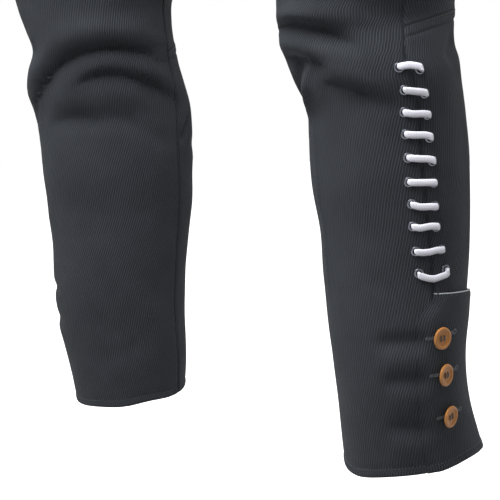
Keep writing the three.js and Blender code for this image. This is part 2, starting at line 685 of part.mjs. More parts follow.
// The fly covers the centre front seam. Its lower edge curves in to the seam.
function fly() {
  const levels = FLY_ROWS.map((share) => THREE.MathUtils.lerp(FLY.bottom, BAND_BOTTOM - FLY.gap, share));
  const grid = (lift) => levels.map((level) => {
    const open = Math.min((level - FLY.bottom) / FLY.curve, 1);
    const left = Math.max(FLY.left * Math.sqrt(1 - (1 - open) ** 2), FLY.right);
    return Array.from({ length: FLY.columns + 1 }, (_, c) => {
      const x = -FLY.right + (left + FLY.right) * c / FLY.columns;
      const round = Math.sign(x) * roundAt(Math.abs(x), level);
      return form('left', round, level).addScaledVector(outward('left', round, level), lift);
    });
  });
  return wall(grid(FLY.lift + CLOTH), grid(FLY.lift), false);
}

sew('waistband', waistband(), twill);
sew('fly', fly(), twill);

const bandMiddle = (BAND_BOTTOM + LENGTH) / 2;
const waistFrame = {
  origin: waistPoint(0, bandMiddle, BAND.lift),
  up: new THREE.Vector3(0, 0, 1),
  out: new THREE.Vector3(0, -1, 0),
};
sew('waist_button', button(waistFrame, SEAM), wood);

export default garment;
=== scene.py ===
"""Jodhpurs: riding breeches of dark whipcord with flared thighs, laced calves and buttoned cuffs.

The garment is filled out as if worn, and hangs from its waist. Its front faces -Y and the wearer's left
is +X. The sizes here are in millimetres and degrees, and become metres where a mesh is made.

A place on a leg's cloth is given by `turn` and `level`, as in the solid model:
  level  millimetres above the hem, measured at the side of the leg
  turn   0 at the inseam or centre front, 0.5 at the side seam, 1 at the inseam or centre back
"""

import math

import bpy
import numpy as np
from mathutils import Matrix, Vector


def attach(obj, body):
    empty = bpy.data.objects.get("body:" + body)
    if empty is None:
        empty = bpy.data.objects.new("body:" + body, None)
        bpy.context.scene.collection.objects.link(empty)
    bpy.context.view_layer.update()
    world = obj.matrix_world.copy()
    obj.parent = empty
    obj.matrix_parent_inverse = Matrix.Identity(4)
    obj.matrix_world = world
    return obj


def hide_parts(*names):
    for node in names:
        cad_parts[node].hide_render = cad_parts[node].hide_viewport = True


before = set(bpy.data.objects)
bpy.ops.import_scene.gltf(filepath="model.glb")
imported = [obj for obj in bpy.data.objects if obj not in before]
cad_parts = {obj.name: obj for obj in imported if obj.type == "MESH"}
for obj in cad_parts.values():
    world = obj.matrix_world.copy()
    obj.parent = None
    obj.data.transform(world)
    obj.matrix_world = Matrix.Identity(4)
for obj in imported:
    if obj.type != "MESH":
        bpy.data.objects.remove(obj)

bl_info = {
    "name": "Jodhpurs",
    "version": (1, 0, 0),
    "blender": (4, 5, 0),
    "location": "3D View > Sidebar > Jodhpurs",
    "description": "Riding breeches with laced calves, sewn round their solid model",
    "category": "Add Mesh",
}

MM = 0.001
SIDES = ("left", "right")
HAND = {"left": 1, "right": -1}

# ---------------------------------------------------------------- sizes of the solid model

LENGTH = 950  # hem to the waistband's top edge
FORK = 660  # level where the two legs meet
RISE = 90  # height in which the crotch seam turns up to the centre front and back
SEAM = 0.3  # gap between two pieces
JOIN = 0.01  # half the gap between two panels where they are sewn together
SECTION_TURN = math.radians(52)  # the ovals' long axis, from the leg's front outwards
HEM_SLOPE = {"out": 0.061, "back": 0.143}  # rise of a section towards the outer side and the back
HEM_DIPS = {  # where the hem hangs lower: angle, drop, half width in degrees
    "left": ((-22, 5.5, 30), (86, -3, 22), (127, 2.5, 14)),
    "right": ((28, 5.5, 30), (-69, -3, 22)),
}
HEM_DIP_HEIGHT = 75  # level above which the hem's dips are no longer felt
SLOPE_ENDS = {"full": 400, "level": 640}  # levels between which the sections turn horizontal
KNEE_SEAM = 345.5
KNEE_RISE = {"high": 10, "reach": 60}  # how far that seam rises at the back, and how far off it is felt
KNEE_WELT = 9  # height of the welt over the knee seam
SLIT = (146, 334)  # levels between which the side is open under the lace
BAND_BOTTOM = 912
# In degrees: how much further back the lower leg's seams, slit and cuff lie on either leg.
TURN_OUT = {"left": {"inseam": -18, "side": 0}, "right": {"inseam": 0, "side": 18}}
TURN_OUT_FULL = 380  # level below which all of it is felt
TURN_OUT_NONE = 560
CLOTH = 2  # thickness of the solid model's cloth, which sets how far apart its layers lie
TAB = {
    "top": 148,
    "fall": 0.2,  # for each degree from the corner
    "corner": 0.86,  # share of its height at which the front edge turns back
    "corner_reach": 12.5,
    "front": 47.5,
    "back": 170,
    "lift": 1.1,
    "ease": 13,  # distance from its front edge in which it rises out of the leg's cloth
    "eased": 0.15,  # its lift and its thickness at that edge
    "thin": 0.35,
    "radius": 62,  # of the cuff, for distances round it
}
# How the leg is drawn in under the tab.
CUFF_DRAW = {"level": 95, "half": 58, "angle": 128, "spread": 52, "deep": 4}
CUFF_BUTTONS = ((113, 63), (82.5, 65.5), (45.5, 69))  # level, angle
FLY = {"bottom": 748, "curve": 45, "left": 37, "right": 5, "lift": 0.8}
BAND = {"start": -9, "dip": 318, "under": 343, "end": 369, "lift": 0.4, "cloth": 2.4}


def table(names, *rows):
    """A table with named columns, as one array for each column."""
    return {name: np.array(column, float) for name, column in zip(names.split(), zip(*rows))}


FORK_RADII = (116, 108)
FORK_REACH = math.hypot(FORK_RADII[0] * math.sin(SECTION_TURN), FORK_RADII[1] * math.cos(SECTION_TURN))
LEG_SECTIONS = table(
    "level x y long short",
    (0, 182, 13, 58, 57.5),
    (40, 178, 5, 63, 54),
    (80, 178, -1.5, 67, 54),
    (120, 177.5, -4, 68.5, 58),
    (160, 175, -4.5, 70.5, 60),
    (200, 173.5, -6, 75, 61),
    (240, 172, -10.5, 77.5, 64),
    (280, 170.5, -15, 79, 63),
    (300, 170.5, -19, 80, 62),
    (320, 169, -27, 79.5, 64.5),
    (340, 166, -33, 75.5, 67),
    (360, 163.5, -34.5, 70.5, 71),
    (380, 165.5, -38.5, 72.5, 71.5),
    (400, 167, -42, 76.5, 71),
    (440, 164, -43, 87.5, 76),
    (500, 154, -38, 103, 87),
    (560, 141, -29, 112, 97),
    (620, 126, -18, 115, 104),
    (FORK, FORK_REACH + JOIN, -9, *FORK_RADII),
    (FORK + RISE, 101.5, -4, 104, 98),
)
HIP_SECTIONS = table(
    "level wide deep y square",
    (FORK, 210, 122, 2, 2.4),
    (700, 204, 124, 4, 2.4),
    (760, 193, 125, 5, 2.35),
    (830, 178, 120, 4, 2.2),
    (880, 167, 114.5, 2, 2.1),
    (915, 161, 112.5, 0, 2),
    (LENGTH, 160, 112, 0, 2),
)
FORK_ANGLE = -90 - math.degrees(
    math.atan2(
        (FORK_RADII[0] ** 2 - FORK_RADII[1] ** 2) * math.sin(SECTION_TURN) * math.cos(SECTION_TURN),
        FORK_REACH**2,
    )
)
INSEAM = table(
    "level angle",
    (0, -108), (160, -105), (270, -104), (330, -110), (400, -110), (560, -101), (FORK, FORK_ANGLE),
)
SIDE_SEAM = table(
    "level angle",
    (0, 62), (155, 60), (200, 56.5), (260, 55), (330, 56),
    (350, 59.5), (375, 61.5), (440, 70), (560, 82), (FORK, 86),
)

# The lacing from the top row down: levels of the two eyelets and their distances from the slit, and how
# far the lace rises above the line from one to the other at a quarter, the middle and three quarters.
LACING = table(
    "front_level front_from back_level back_from first middle last",
    (325, 8, 321.5, 7.3, 1.3, 2.1, 2.0),
    (308.5, 8.6, 304, 6.2, 0.3, 0.5, 0.9),
    (292.5, 11.4, 288, 6.5, -0.5, -0.1, 0.6),
    (276, 11.4, 270.5, 7.1, 0.3, 0.9, 1.6),
    (258, 11, 252.5, 8, 0.2, 0.6, 1.2),
    (239.5, 11.8, 236, 7.6, -0.1, 0, 0.2),
    (222.5, 11.3, 218, 6.5, -1.4, -1.2, -0.5),
    (205, 12.3, 201.5, 6.3, -0.8, 0, 0.9),
    (185, 12, 182.5, 9.4, -0.9, -0.7, 0.2),
    (167, 11.2, 165.5, 12.4, -4.3, -5.5, -4.6),
)

# Folds and creases of one leg: kind, start, a place that draws the curve towards it, end, depth and half
# width. Places are given by angle from the leg's front and level. In a lap the cloth above hangs over the
# cloth below, a trough has a swelling below it, a ridge stands out, a pleat stands out sharply, and a
# crease is a sharp line pressed in.
FOLDS = {
    "left": (
        ("lap", (-66, 365), (0, 381), (40, 336), 8.5, 2.6),
        ("lap", (-60, 341), (-10, 346), (12, 326), 9, 4),
        ("lap", (-12, 314), (12, 330), (42, 290), 6, 4),
        ("trough", (-70, 352), (-95, 338), (-125, 348), 4, 7),
        ("trough", (112, 344), (95, 336), (84, 320), 3, 7),
        ("trough", (150, 352), (180, 340), (215, 350), 5, 8),
        ("trough", (140, 322), (175, 312), (220, 326), 4, 8),
        ("trough", (20, 640), (45, 610), (75, 560), 4, 14),
        ("trough", (150, 610), (190, 590), (235, 620), 5, 12),
    ),
    "right": (
        ("lap", (50, 276), (-22, 410), (-116, 336), 12.5, 6),
        ("lap", (-14, 320), (-62, 361), (-118, 298), 9, 4.5),
        ("lap", (20, 282), (-10, 314), (-56, 284), 3.4, 4.5),
        ("trough", (-107, 262), (-112, 278), (-124, 290), 3, 5),
        ("trough", (40, 366), (70, 372), (100, 356), 4, 8),
        ("trough", (150, 352), (180, 340), (215, 350), 5, 8),
        ("trough", (140, 322), (175, 312), (220, 326), 4, 8),
        ("trough", (20, 650), (45, 620), (75, 570), 4, 14),
        ("trough", (150, 600), (190, 585), (235, 612), 5, 12),
    ),
}
CREASES = {
    "left": (
        ("ridge", (-44, 372), (8, 385), (62, 347), 3.4, 8),
        ("pleat", (-4, 346), (-16, 324), (-44, 292), 3.2, 3),
        ("trough", (-20, 342), (-40, 326), (-62, 296), 5.0, 7),
        ("pleat", (-26, 330), (-30, 230), (-33, 110), 2.0, 3),
        ("trough", (18, 312), (34, 305), (52, 288), 1.2, 6),
        ("ridge", (98, 315), (99, 230), (101, 150), 1.0, 6),
        ("trough", (18, 172), (28, 160), (38, 147), 0.8, 5),
        ("trough", (16, 112), (38, 116), (60, 109), 3.2, 7),
        ("trough", (20, 80), (40, 84), (62, 77), 2.8, 7),
        ("trough", (18, 41), (40, 41), (62, 35), 2.8, 7),
        ("trough", (40, 394), (48, 388), (52, 380), 0.9, 3),
    ),
    "right": (
        ("trough", (-34, 300), (-68, 296), (-102, 256), 1.4, 7),
        ("ridge", (18, 386), (17, 370), (25, 356), 1.3, 3),
        ("ridge", (22, 316), (27, 300), (29, 284), 1.0, 3),
        ("trough", (-66, 146), (-82, 118), (-98, 104), 0.8, 9),
        ("trough", (-22, 150), (-36, 126), (-52, 112), 0.8, 9),
        ("trough", (0, 62), (-35, 34), (-78, 82), 0.8, 8),
        ("crease", (-107, 237), (-115, 262), (-125, 289), 1.2, 2.5),
        ("ridge", (98, 315), (99, 230), (101, 150), 1.0, 6),
        ("ridge", (30, 225), (38, 160), (34, 95), 1.6, 13),
        ("trough", (18, 118), (38, 121), (58, 116), 2.0, 6),
        ("trough", (22, 84), (40, 88), (60, 82), 1.8, 6),
    ),
}
SHARED_CREASES = (
    ("trough", (130, 410), (165, 396), (205, 404), 1.6, 9),
    ("trough", (160, 288), (185, 280), (214, 294), 1.4, 8),
    ("trough", (196, 262), (222, 250), (246, 266), 1.0, 7),
    ("ridge", (-78, 330), (-84, 250), (-82, 170), 0.6, 8),
    ("trough", (60, 470), (84, 452), (104, 470), 1.2, 10),
    ("trough", (-84, 600), (-96, 560), (-100, 500), 2.0, 11),
    ("trough", (-30, 640), (10, 628), (40, 600), 1.6, 12),
    ("trough", (215, 640), (236, 600), (240, 540), 2.2, 11),
)
FOLD_SAMPLES = 40
FOLD_FADE = 0.3  # share of a fold's length in which it fades in at either end

# Slight unevenness of worn cloth: height, waves round the leg, level for one radian, and the shift on the
# right leg.
RUMPLES = ((0.22, 3, 21, 2.1), (0.16, 5, -13, 1.3 * 2.1), (0.10, 9, 7.5, 0.7 * 2.1))

CENTRE_REACH = 0.3  # how far round from the centre the crotch seam's own curve is felt
PROBE_TURN = 0.004  # steps round and up the leg over which its directions are measured
PROBE_LEVEL = 1
SEAT_PROBE = 1.5

# Panels of a leg: turns of the two side edges, lowest and highest level, lean of the ribs, columns.
PANELS = {
    "front": {"turns": (0, 0.5), "levels": (0, BAND_BOTTOM), "lean": 18, "columns": 78},
    "back": {"turns": (0.5, 1), "levels": (KNEE_SEAM + JOIN, BAND_BOTTOM), "lean": -28, "columns": 78},
    "calf": {"turns": (0.5, 1), "levels": (0, KNEE_SEAM - JOIN), "lean": 9, "columns": 78},
}
WELT_LEAN = 16
CUT_LEAN = 12  # lean of the ribs on the tabs, the fly and the waistband
FINE_TOP = 430  # level above which the mesh may be coarser

# Distances of the mesh's rows or columns from a seam, closer together where the cloth rolls in.
EDGE_STEPS = np.array([0, 0.35, 0.8, 1.4, 2.2, 3.2, 4.6])

ROLL = 1.3  # half width of the roll at a seam
TURNED_EDGE = {"share": 0.25, "off": 4.2, "half": 2.2}  # the faint welt beside it: share of the roll's depth
KNEE_ROLL = {"back": 0.35, "calf": 0.4}  # share of a seam's depth at the knee seam
HEM = {"full": 0.7, "sewn": 0.8, "fold": 1.1}  # how far its band stands out, and its seam and fold lie in
SLIT_DEPTH = 1.3  # how far it rolls in along the slit
SLIT_FADE = 6
WELT_LIFT = 0.5  # how far the welt stands out over the knee seam
STITCH_PROBE = 0.5  # how far on and back a stitch's direction is measured
CLOTH_CRISP = 50  # degrees from which an edge of the cloth is sharp
FLOOR = 12000  # half the floor's width

# ---------------------------------------------------------------- the form of the cloth


def smooth(share):
    """0 to 1 with a soft start and end."""
    share = np.clip(share, 0, 1)
    return share * share * (3 - 2 * share)


def mix(a, b, share):
    return a + (b - a) * share


def bell(distance, half):
    """1 at no distance, falling away to both sides."""
    return np.exp(-((distance / half) ** 2))


def read(rows, column, level):
    """A smooth curve through one column of a table, by level."""
    at = rows["level"]
    value = rows[column]
    slope = np.gradient(value)
    slope[1:-1] = (value[2:] - value[:-2]) / (at[2:] - at[:-2])
    slope[0] = (value[1] - value[0]) / (at[1] - at[0])
    slope[-1] = (value[-1] - value[-2]) / (at[-1] - at[-2])
    level = np.clip(level, at[0], at[-1])
    i = np.clip(np.searchsorted(at, level, side="right") - 1, 0, len(at) - 2)
    span = at[i + 1] - at[i]
    t = (level - at[i]) / span
    ends = value[i] * (1 + 2 * t) * (1 - t) ** 2 + value[i + 1] * t * t * (3 - 2 * t)
    return ends + span * (slope[i] * t * (1 - t) ** 2 + slope[i + 1] * t * t * (t - 1))


def seam_angle(side, seam, level):
    """Angle from the leg's front at which a seam lies."""
    rows = SIDE_SEAM if seam == "side" else INSEAM
    low = 1 - smooth((level - TURN_OUT_FULL) / (TURN_OUT_NONE - TURN_OUT_FULL))
    return read(rows, "angle", np.minimum(level, FORK)) + low * TURN_OUT[side][seam]


def angle_of(side, turn, level):
    inner = seam_angle(side, "inseam", level)
    outer = seam_angle(side, "side", level)
    front = inner + 2 * turn * (outer - inner)
    back = outer + (2 * turn - 1) * (inner + 360 - outer)
    return np.where(turn <= 0.5, front, back)


def turn_of(side, angle, level):
    inner = seam_angle(side, "inseam", level)
    outer = seam_angle(side, "side", level)
    front = 0.5 * (angle - inner) / (outer - inner)
    back = 0.5 + 0.5 * (angle - outer) / (inner + 360 - outer)
    return np.where(angle <= outer, front, back)


def leg_radius(angle, level):
    """Radius of the leg's oval at an angle from its front."""
    off = np.radians(angle) - SECTION_TURN
    along = np.cos(off) / read(LEG_SECTIONS, "long", level)
    across = np.sin(off) / read(LEG_SECTIONS, "short", level)
    return 1 / np.hypot(along, across)


def unit(vector):
    return vector / np.linalg.norm(vector, axis=-1, keepdims=True)


def points(x, y, z):
    return np.stack(np.broadcast_arrays(x, y, z), axis=-1)


def leg_form(side, turn, level):
    """Bare oval form of one leg, on the left."""
    angle = angle_of(side, turn, level)
    radius = leg_radius(angle, level)
    out = radius * np.sin(np.radians(angle))
    back = -radius * np.cos(np.radians(angle))
    slope = 1 - smooth((level - SLOPE_ENDS["full"]) / (SLOPE_ENDS["level"] - SLOPE_ENDS["full"]))
    dip = sum(drop * bell(angle - middle, half) for middle, drop, half in HEM_DIPS[side])
    dip = dip * (1 - smooth(level / HEM_DIP_HEIGHT))
    return points(
        read(LEG_SECTIONS, "x", level) + out,
        read(LEG_SECTIONS, "y", level) + back,
        level - LENGTH - dip + slope * (HEM_SLOPE["out"] * out + HEM_SLOPE["back"] * back),
    )


def hip_form(turn, level):
    """Bare form of the left half above the crotch seam."""
    crowded = np.arcsin(np.minimum(np.sin(np.pi * turn) ** 2, 1))
    even = np.pi * np.minimum(turn, 1 - turn)
    angle = mix(crowded, even, smooth((level - FORK) / (BAND_BOTTOM - FORK)))
    power = 2 / read(HIP_SECTIONS, "square", level)
    depth = read(HIP_SECTIONS, "deep", level) * np.cos(angle) ** power
    return points(
        read(HIP_SECTIONS, "wide", level) * np.sin(angle) ** power,
        read(HIP_SECTIONS, "y", level) + np.where(turn < 0.5, -depth, depth),
        level - LENGTH,
    )


def form(side, turn, level):
    """Bare form of one half, on the left. Past the centre front or back it goes on as a mirror image."""
    turn, level = np.broadcast_arrays(np.asarray(turn, float), np.asarray(level, float))
    above = level > FORK
    beyond = above & ((turn < 0) | (turn > 1))
    turn = np.where(beyond, np.where(turn < 0, -turn, 2 - turn), turn)
    leg = leg_form(side, turn, level)
    hip = hip_form(np.clip(turn, 0, 1), np.maximum(level, FORK))
    share = np.clip((level - FORK) / RISE, 0, 1)
    centre = 1 - smooth(np.minimum(turn, 1 - turn) / CENTRE_REACH)
    risen = mix(share, 1 - np.cos(share * np.pi / 2), centre)
    opened = mix(smooth(share), np.sin(share * np.pi / 2), centre)
    upper = mix(leg, hip, opened[..., None])
    upper[..., 2] = np.where(share < 1, FORK + RISE * risen, level) - LENGTH
    upper[..., 0] = np.where(beyond, -upper[..., 0], upper[..., 0])
    return np.where(above[..., None], upper, leg)


def outward(side, turn, level):
    """Unit normals of the bare form."""
    near_fork = (np.abs(level - FORK) < PROBE_LEVEL) & (np.minimum(turn, 1 - turn) < PROBE_TURN)
    at = np.where(near_fork, FORK + 2 * PROBE_LEVEL, level)
    along_turn = form(side, turn + PROBE_TURN, at) - form(side, turn - PROBE_TURN, at)
    higher = form(side, turn, np.minimum(at + PROBE_LEVEL, LENGTH))
    lower = form(side, turn, np.maximum(at - PROBE_LEVEL, 0))
    return unit(np.cross(along_turn, higher - lower))


def fold_profile(kind, below, half):
    """How far a fold of depth 1 stands out at a distance below or beside its line."""
    if kind == "lap":
        fall = np.where(below < 0, np.exp(below / half), bell(below, 3.4 * half))
        return 0.15 * bell(below + 2.8 * half, 1.6 * half) - 0.8 * fall
    if kind == "trough":
        return 0.4 * bell(below - 2.2 * half, 1.5 * half) - bell(below, half)
    if kind == "pleat":
        return np.exp(-np.abs(below) / half)
    if kind == "ridge":
        return bell(below, half)
    return -np.exp(-np.abs(below) / half)


def fold_offset(side, turn, level):
    """How far the folds and creases move the cloth outwards."""
    angle = angle_of(side, turn, level)
    per_degree = np.radians(leg_radius(angle, level))
    drawn = bell(level - CUFF_DRAW["level"], CUFF_DRAW["half"])
    drawn = drawn * bell(angle - TURN_OUT[side]["side"] - CUFF_DRAW["angle"], CUFF_DRAW["spread"])
    offset = np.where(level > FORK, 0, -CUFF_DRAW["deep"] * drawn)
    t = np.linspace(0, 1, FOLD_SAMPLES + 1)
    for kind, start, past, end, deep, half in FOLDS[side] + CREASES[side] + SHARED_CREASES:
        middle = (start[0] + end[0]) / 2
        wrapped = angle - 360 * np.round((angle - middle) / 360)
        reach = abs(start[1] - end[1]) / 2 + abs(past[1] - (start[1] + end[1]) / 2) + 5 * half
        near = (np.abs(level - (start[1] + end[1]) / 2) < reach) & (level <= FORK)
        if not near.any():
            continue
        bend = [(1 - t) ** 2 * start[k] + 2 * t * (1 - t) * past[k] + t * t * end[k] for k in (0, 1)]
        across = (wrapped[near][:, None] - bend[0]) * per_degree[near][:, None]
        up = level[near][:, None] - bend[1]
        distance = np.hypot(across, up)
        nearest = distance.argmin(axis=1)
        pick = np.arange(len(nearest))
        steep = abs(start[1] - end[1]) > abs(start[0] - end[0]) * 2
        sign = np.sign(across if steep else -up)[pick, nearest]
        below = distance[pick, nearest] * np.where(sign == 0, 1, sign)
        along = t[nearest]
        fade = smooth(along / FOLD_FADE) * smooth((1 - along) / FOLD_FADE)
        offset[near] += deep * fade * fold_profile(kind, below, half)
    return offset


def rumple(side, turn, level):
    angle = np.radians(angle_of(side, turn, level))
    return sum(
        height * np.sin(waves * angle + level / slant + (shift if side == "right" else 0))
        for height, waves, slant, shift in RUMPLES
    )


def cloth(side, turn, level, lift=0.0):
    """Places on one leg's cloth, moved out from its face by `lift`, in millimetres."""
    turn, level = np.broadcast_arrays(np.asarray(turn, float), np.asarray(level, float))
    raised = lift + fold_offset(side, turn, level)
    raised = raised + np.where(level > FORK, 0, 1) * rumple(side, turn, level)
    place = form(side, turn, level) + outward(side, turn, level) * raised[..., None]
    centred = (level > FORK - 1) & (turn >= 0) & (turn <= 1)
    place[..., 0] = np.where(centred, np.maximum(place[..., 0], JOIN), place[..., 0])
    if side == "right":
        place[..., 0] = -place[..., 0]
    return place


class Seat:
    """A place on one leg's cloth with its directions: out of it, up along it and round to the back."""

    def __init__(self, side, turn, level, lift=0.0):
        turn = float(turn)
        self.place = cloth(side, turn, level, lift)
        self.up = unit(cloth(side, turn, level + SEAT_PROBE) - cloth(side, turn, level - SEAT_PROBE))
        rough = cloth(side, turn + PROBE_TURN, level) - cloth(side, turn - PROBE_TURN, level)
        self.out = unit(np.cross(rough, self.up) * HAND[side])
        self.around = unit(np.cross(self.up, self.out) * HAND[side])

    def at(self, around, up, out):
        return self.place + self.around * around + self.up * up + self.out * out


def risen(turn, level):
    """Levels of the back's and the calf's rows, which rise with the knee seam round the back."""
    near = 1 - smooth(np.abs(level - KNEE_SEAM) / KNEE_RISE["reach"])
    return level + KNEE_RISE["high"] * near * np.sin(np.pi * np.maximum(2 * turn - 1, 0))


def beside(side, level, angle, distance=0.0):
    """The turn of a place some distance round from an angle on the lower leg, before its turn-out."""
    angle = angle + TURN_OUT[side]["side"]
    return turn_of(side, angle + np.degrees(distance / leg_radius(angle, level)), level)


def eyelet_seats(side):
    """Seats of the eyelets in the slit's two edges, from the top down."""
    seats = {}
    for edge, sign in (("front", -1), ("back", 1)):
        seats[edge] = []
        for level, reach in zip(LACING[f"{edge}_level"], LACING[f"{edge}_from"]):
            slit = seam_angle(side, "side", level) - TURN_OUT[side]["side"]
            seats[edge].append(Seat(side, beside(side, level, slit, sign * reach), level))
    return seats


# ---------------------------------------------------------------- settings


def size_setting(name, description, default, least=0.0, **others):
    return bpy.props.FloatProperty(
        name=name, description=description, default=default, min=least, **{"unit": "LENGTH", **others}
    )


def colour_setting(name, description, *default):
    return bpy.props.FloatVectorProperty(
        name=name, description=description, default=default, subtype="COLOR", size=3, min=0, max=1
    )


class ClothSettings(bpy.types.PropertyGroup):
    """The whipcord and how it is sewn"""

    thickness: size_setting("Thickness", "Thickness of the cloth", 0.0016, 0.0005)
    spacing: size_setting("Spacing", "Distance between two points of the cloth's mesh", 0.0026, 0.001)
    rib: size_setting("Rib", "Distance between two ribs of the weave", 0.00222, 0.0005)
    rib_height: size_setting("Rib height", "How far a rib stands out", 0.0006)
    seam_depth: size_setting("Seam depth", "How deep the cloth rolls in at a seam", 0.0011)
    hem: size_setting("Hem", "Height of the hem's band", 0.0068, 0.001)
    colour: colour_setting("Colour", "Colour of the ribs", 0.036, 0.0395, 0.046)
    edge_colour: colour_setting("Edge colour", "Colour of the cuff tab's top edge", 0.36, 0.39, 0.40)


class LaceSettings(bpy.types.PropertyGroup):
    """The flat braided lace and its eyelets"""

    width: size_setting("Width", "Width of the lace", 0.0054, 0.001)
    thickness: size_setting("Thickness", "Thickness of the lace", 0.0023, 0.0005)
    braid: size_setting("Braid", "Length of one braided stitch", 0.0021, 0.0005)
    colour: colour_setting("Colour", "Colour of the lace", 0.93, 0.92, 1.0)
    eyelet: size_setting("Eyelet", "Outer diameter of an eyelet", 0.0080, 0.003)
    metal: colour_setting("Metal", "Colour of the eyelets", 0.085, 0.09, 0.105)


class ButtonSettings(bpy.types.PropertyGroup):
    """The wooden buttons"""

    diameter: size_setting("Diameter", "Diameter of a button", 0.018, 0.005)
    thickness: size_setting("Thickness", "Thickness at the rim", 0.0034, 0.001)
    hole: size_setting("Hole", "Diameter of a hole", 0.002, 0.0005)
    colour: colour_setting("Colour", "Colour of the wood", 0.42, 0.175, 0.036)


class StitchSettings(bpy.types.PropertyGroup):
    """The sewing thread"""

    pitch: size_setting("Pitch", "Distance between two stitches", 0.0029, 0.0005)
    length: size_setting("Length", "Length of a stitch", 0.0023, 0.0005)
    thread: size_setting("Thread", "Thickness of the thread", 0.0005, 0.0001)
    colour: colour_setting("Colour", "Colour of the thread", 0.045, 0.050, 0.054)
    purl: size_setting("Purl", "Distance between two stitches of a buttonhole", 0.00075, 0.0003)
    purl_colour: colour_setting("Purl colour", "Colour of the buttonholes' thread", 0.062, 0.068, 0.076)


class StageSettings(bpy.types.PropertyGroup):
    """Floor, light and camera"""

    floor_drop: size_setting("Floor", "How far the floor lies under the hem", 0.12)
    key_power: size_setting("Key light", "Power of the light from above", 24.0, unit="POWER")
    rim_power: size_setting("Rim lights", "Power of the two lights from behind", 8.0, unit="POWER")
    room: size_setting("Room", "Strength of the light from all round", 0.6, unit="NONE")


SETTINGS = {
    "jodhpurs_cloth": ClothSettings,
    "jodhpurs_lace": LaceSettings,
    "jodhpurs_buttons": ButtonSettings,
    "jodhpurs_stitches": StitchSettings,
    "jodhpurs_stage": StageSettings,
}

# ---------------------------------------------------------------- materials


class Nodes:
    """A node tree under construction, with short calls for its nodes."""

    def __init__(self, tree):
        self.tree = tree

    def node(self, kind, settings=None, **inputs):
        made = self.tree.nodes.new(kind)
        for label, value in (settings or {}).items():
            setattr(made, label, value)
        for label, value in inputs.items():
            self.feed(made.inputs[label.replace("_", " ")], value)
        return made

    def feed(self, socket, value):
        if isinstance(value, bpy.types.NodeSocket):
            self.tree.links.new(value, socket)
        else:
            socket.default_value = value


class Shader(Nodes):
    """A material under construction."""

    def __init__(self, name, **constants):
        self.material = bpy.data.materials.new(name)
        self.material.use_nodes = True
        super().__init__(self.material.node_tree)
        self.surface = self.tree.nodes["Principled BSDF"]
        for label, value in constants.items():
            label = label.replace("_", " ").title().replace("Ior", "IOR")
            self.surface.inputs[label].default_value = value

    def grain(self):
        """The cloth's, lace's or wood's own directions."""
        return self.node("ShaderNodeUVMap", {"uv_map": "grain"}).outputs["UV"]

    def place(self):
        return self.node("ShaderNodeTexCoord").outputs["Object"]

    def between(self, value, low, high):
        return self.node("ShaderNodeMapRange", Value=value, To_Min=low, To_Max=high).outputs["Result"]

    def math(self, operation, a, b):
        made = self.tree.nodes.new("ShaderNodeMath")
        made.operation = operation
        self.feed(made.inputs[0], a)
        self.feed(made.inputs[1], b)
        return made.outputs[0]

    def blend(self, share, a, b, way="MIX"):
        made = self.tree.nodes.new("ShaderNodeMix")
        made.data_type = "RGBA"
        made.blend_type = way
        self.feed(made.inputs[0], share)
        self.feed(made.inputs[6], a)
        self.feed(made.inputs[7], b)
        return made.outputs[2]

    def noise(self, vector, scale, detail=2.0, roughness=0.5):
        return self.node(
            "ShaderNodeTexNoise", Vector=vector, Scale=scale, Detail=detail, Roughness=roughness
        ).outputs["Fac"]

    def bands(self, vector, period, direction="X", distortion=0.0, detail_scale=1.0):
        """Soft bands, `period` metres apart."""
        return self.node(
            "ShaderNodeTexWave",
            {"wave_type": "BANDS", "bands_direction": direction},
            Vector=vector,
            Scale=2 * math.pi / (20 * period),
            Distortion=distortion,
            Detail_Scale=detail_scale,
        ).outputs["Fac"]

    def finish(self, colour, roughness, height, depth):
        """Links the colour, the roughness if there is one, and a relief of some depth in metres."""
        self.tree.links.new(colour, self.surface.inputs["Base Color"])
        if roughness is not None:
            self.tree.links.new(roughness, self.surface.inputs["Roughness"])
        bump = self.node("ShaderNodeBump", Strength=1.0, Distance=depth, Height=height)
        self.tree.links.new(bump.outputs["Normal"], self.surface.inputs["Normal"])
        return self.material


def rgba(colour, factor=1.0):
    return (*[min(channel * factor, 1) for channel in colour], 1)


def material(name, make, *values):
    """The named material, made on first use."""
    return bpy.data.materials.get(name) or make(name, *values)


def whipcord(name, cloth_settings):
    """Steep ribs of hard twisted yarn, which run along the piece's own grain."""
    made = Shader(
        name, roughness=0.85, specular_ior_level=0.06, sheen_weight=0.03, sheen_roughness=0.3,
        sheen_tint=(0.80, 0.88, 0.95, 1),
    )
    grain = made.grain()
    wander = made.noise(grain, 45, 2)
    ribs = made.bands(grain, cloth_settings.rib, "X", 1.1, 30)
    yarn = made.bands(grain, cloth_settings.rib * 0.36, "DIAGONAL", 1.5, 60)
    nap = made.noise(grain, 1900, 3, 0.65)
    rib = made.math("POWER", ribs, 0.75)
    relief = made.math("ADD", rib, made.math("MULTIPLY", yarn, 0.22))
    relief = made.math("ADD", relief, made.math("MULTIPLY", nap, 0.30))
    base = cloth_settings.colour
    # The colour follows the ribs, darker in the grooves and lighter on the crests: partly the weave's own
    # look, partly painted shade in the grooves.
    colour = made.blend(rib, rgba(base, 0.52), rgba(base, 1.36))
    colour = made.blend(made.math("MULTIPLY", nap, 0.30), colour, rgba(base, 1.7))
    tone = made.between(wander, 0.86, 1.14)
    grey = made.node("ShaderNodeCombineColor", Red=tone, Green=tone, Blue=tone).outputs["Color"]
    colour = made.blend(1.0, colour, grey, "MULTIPLY")
    return made.finish(colour, made.between(nap, 0.62, 0.84), relief, cloth_settings.rib_height)


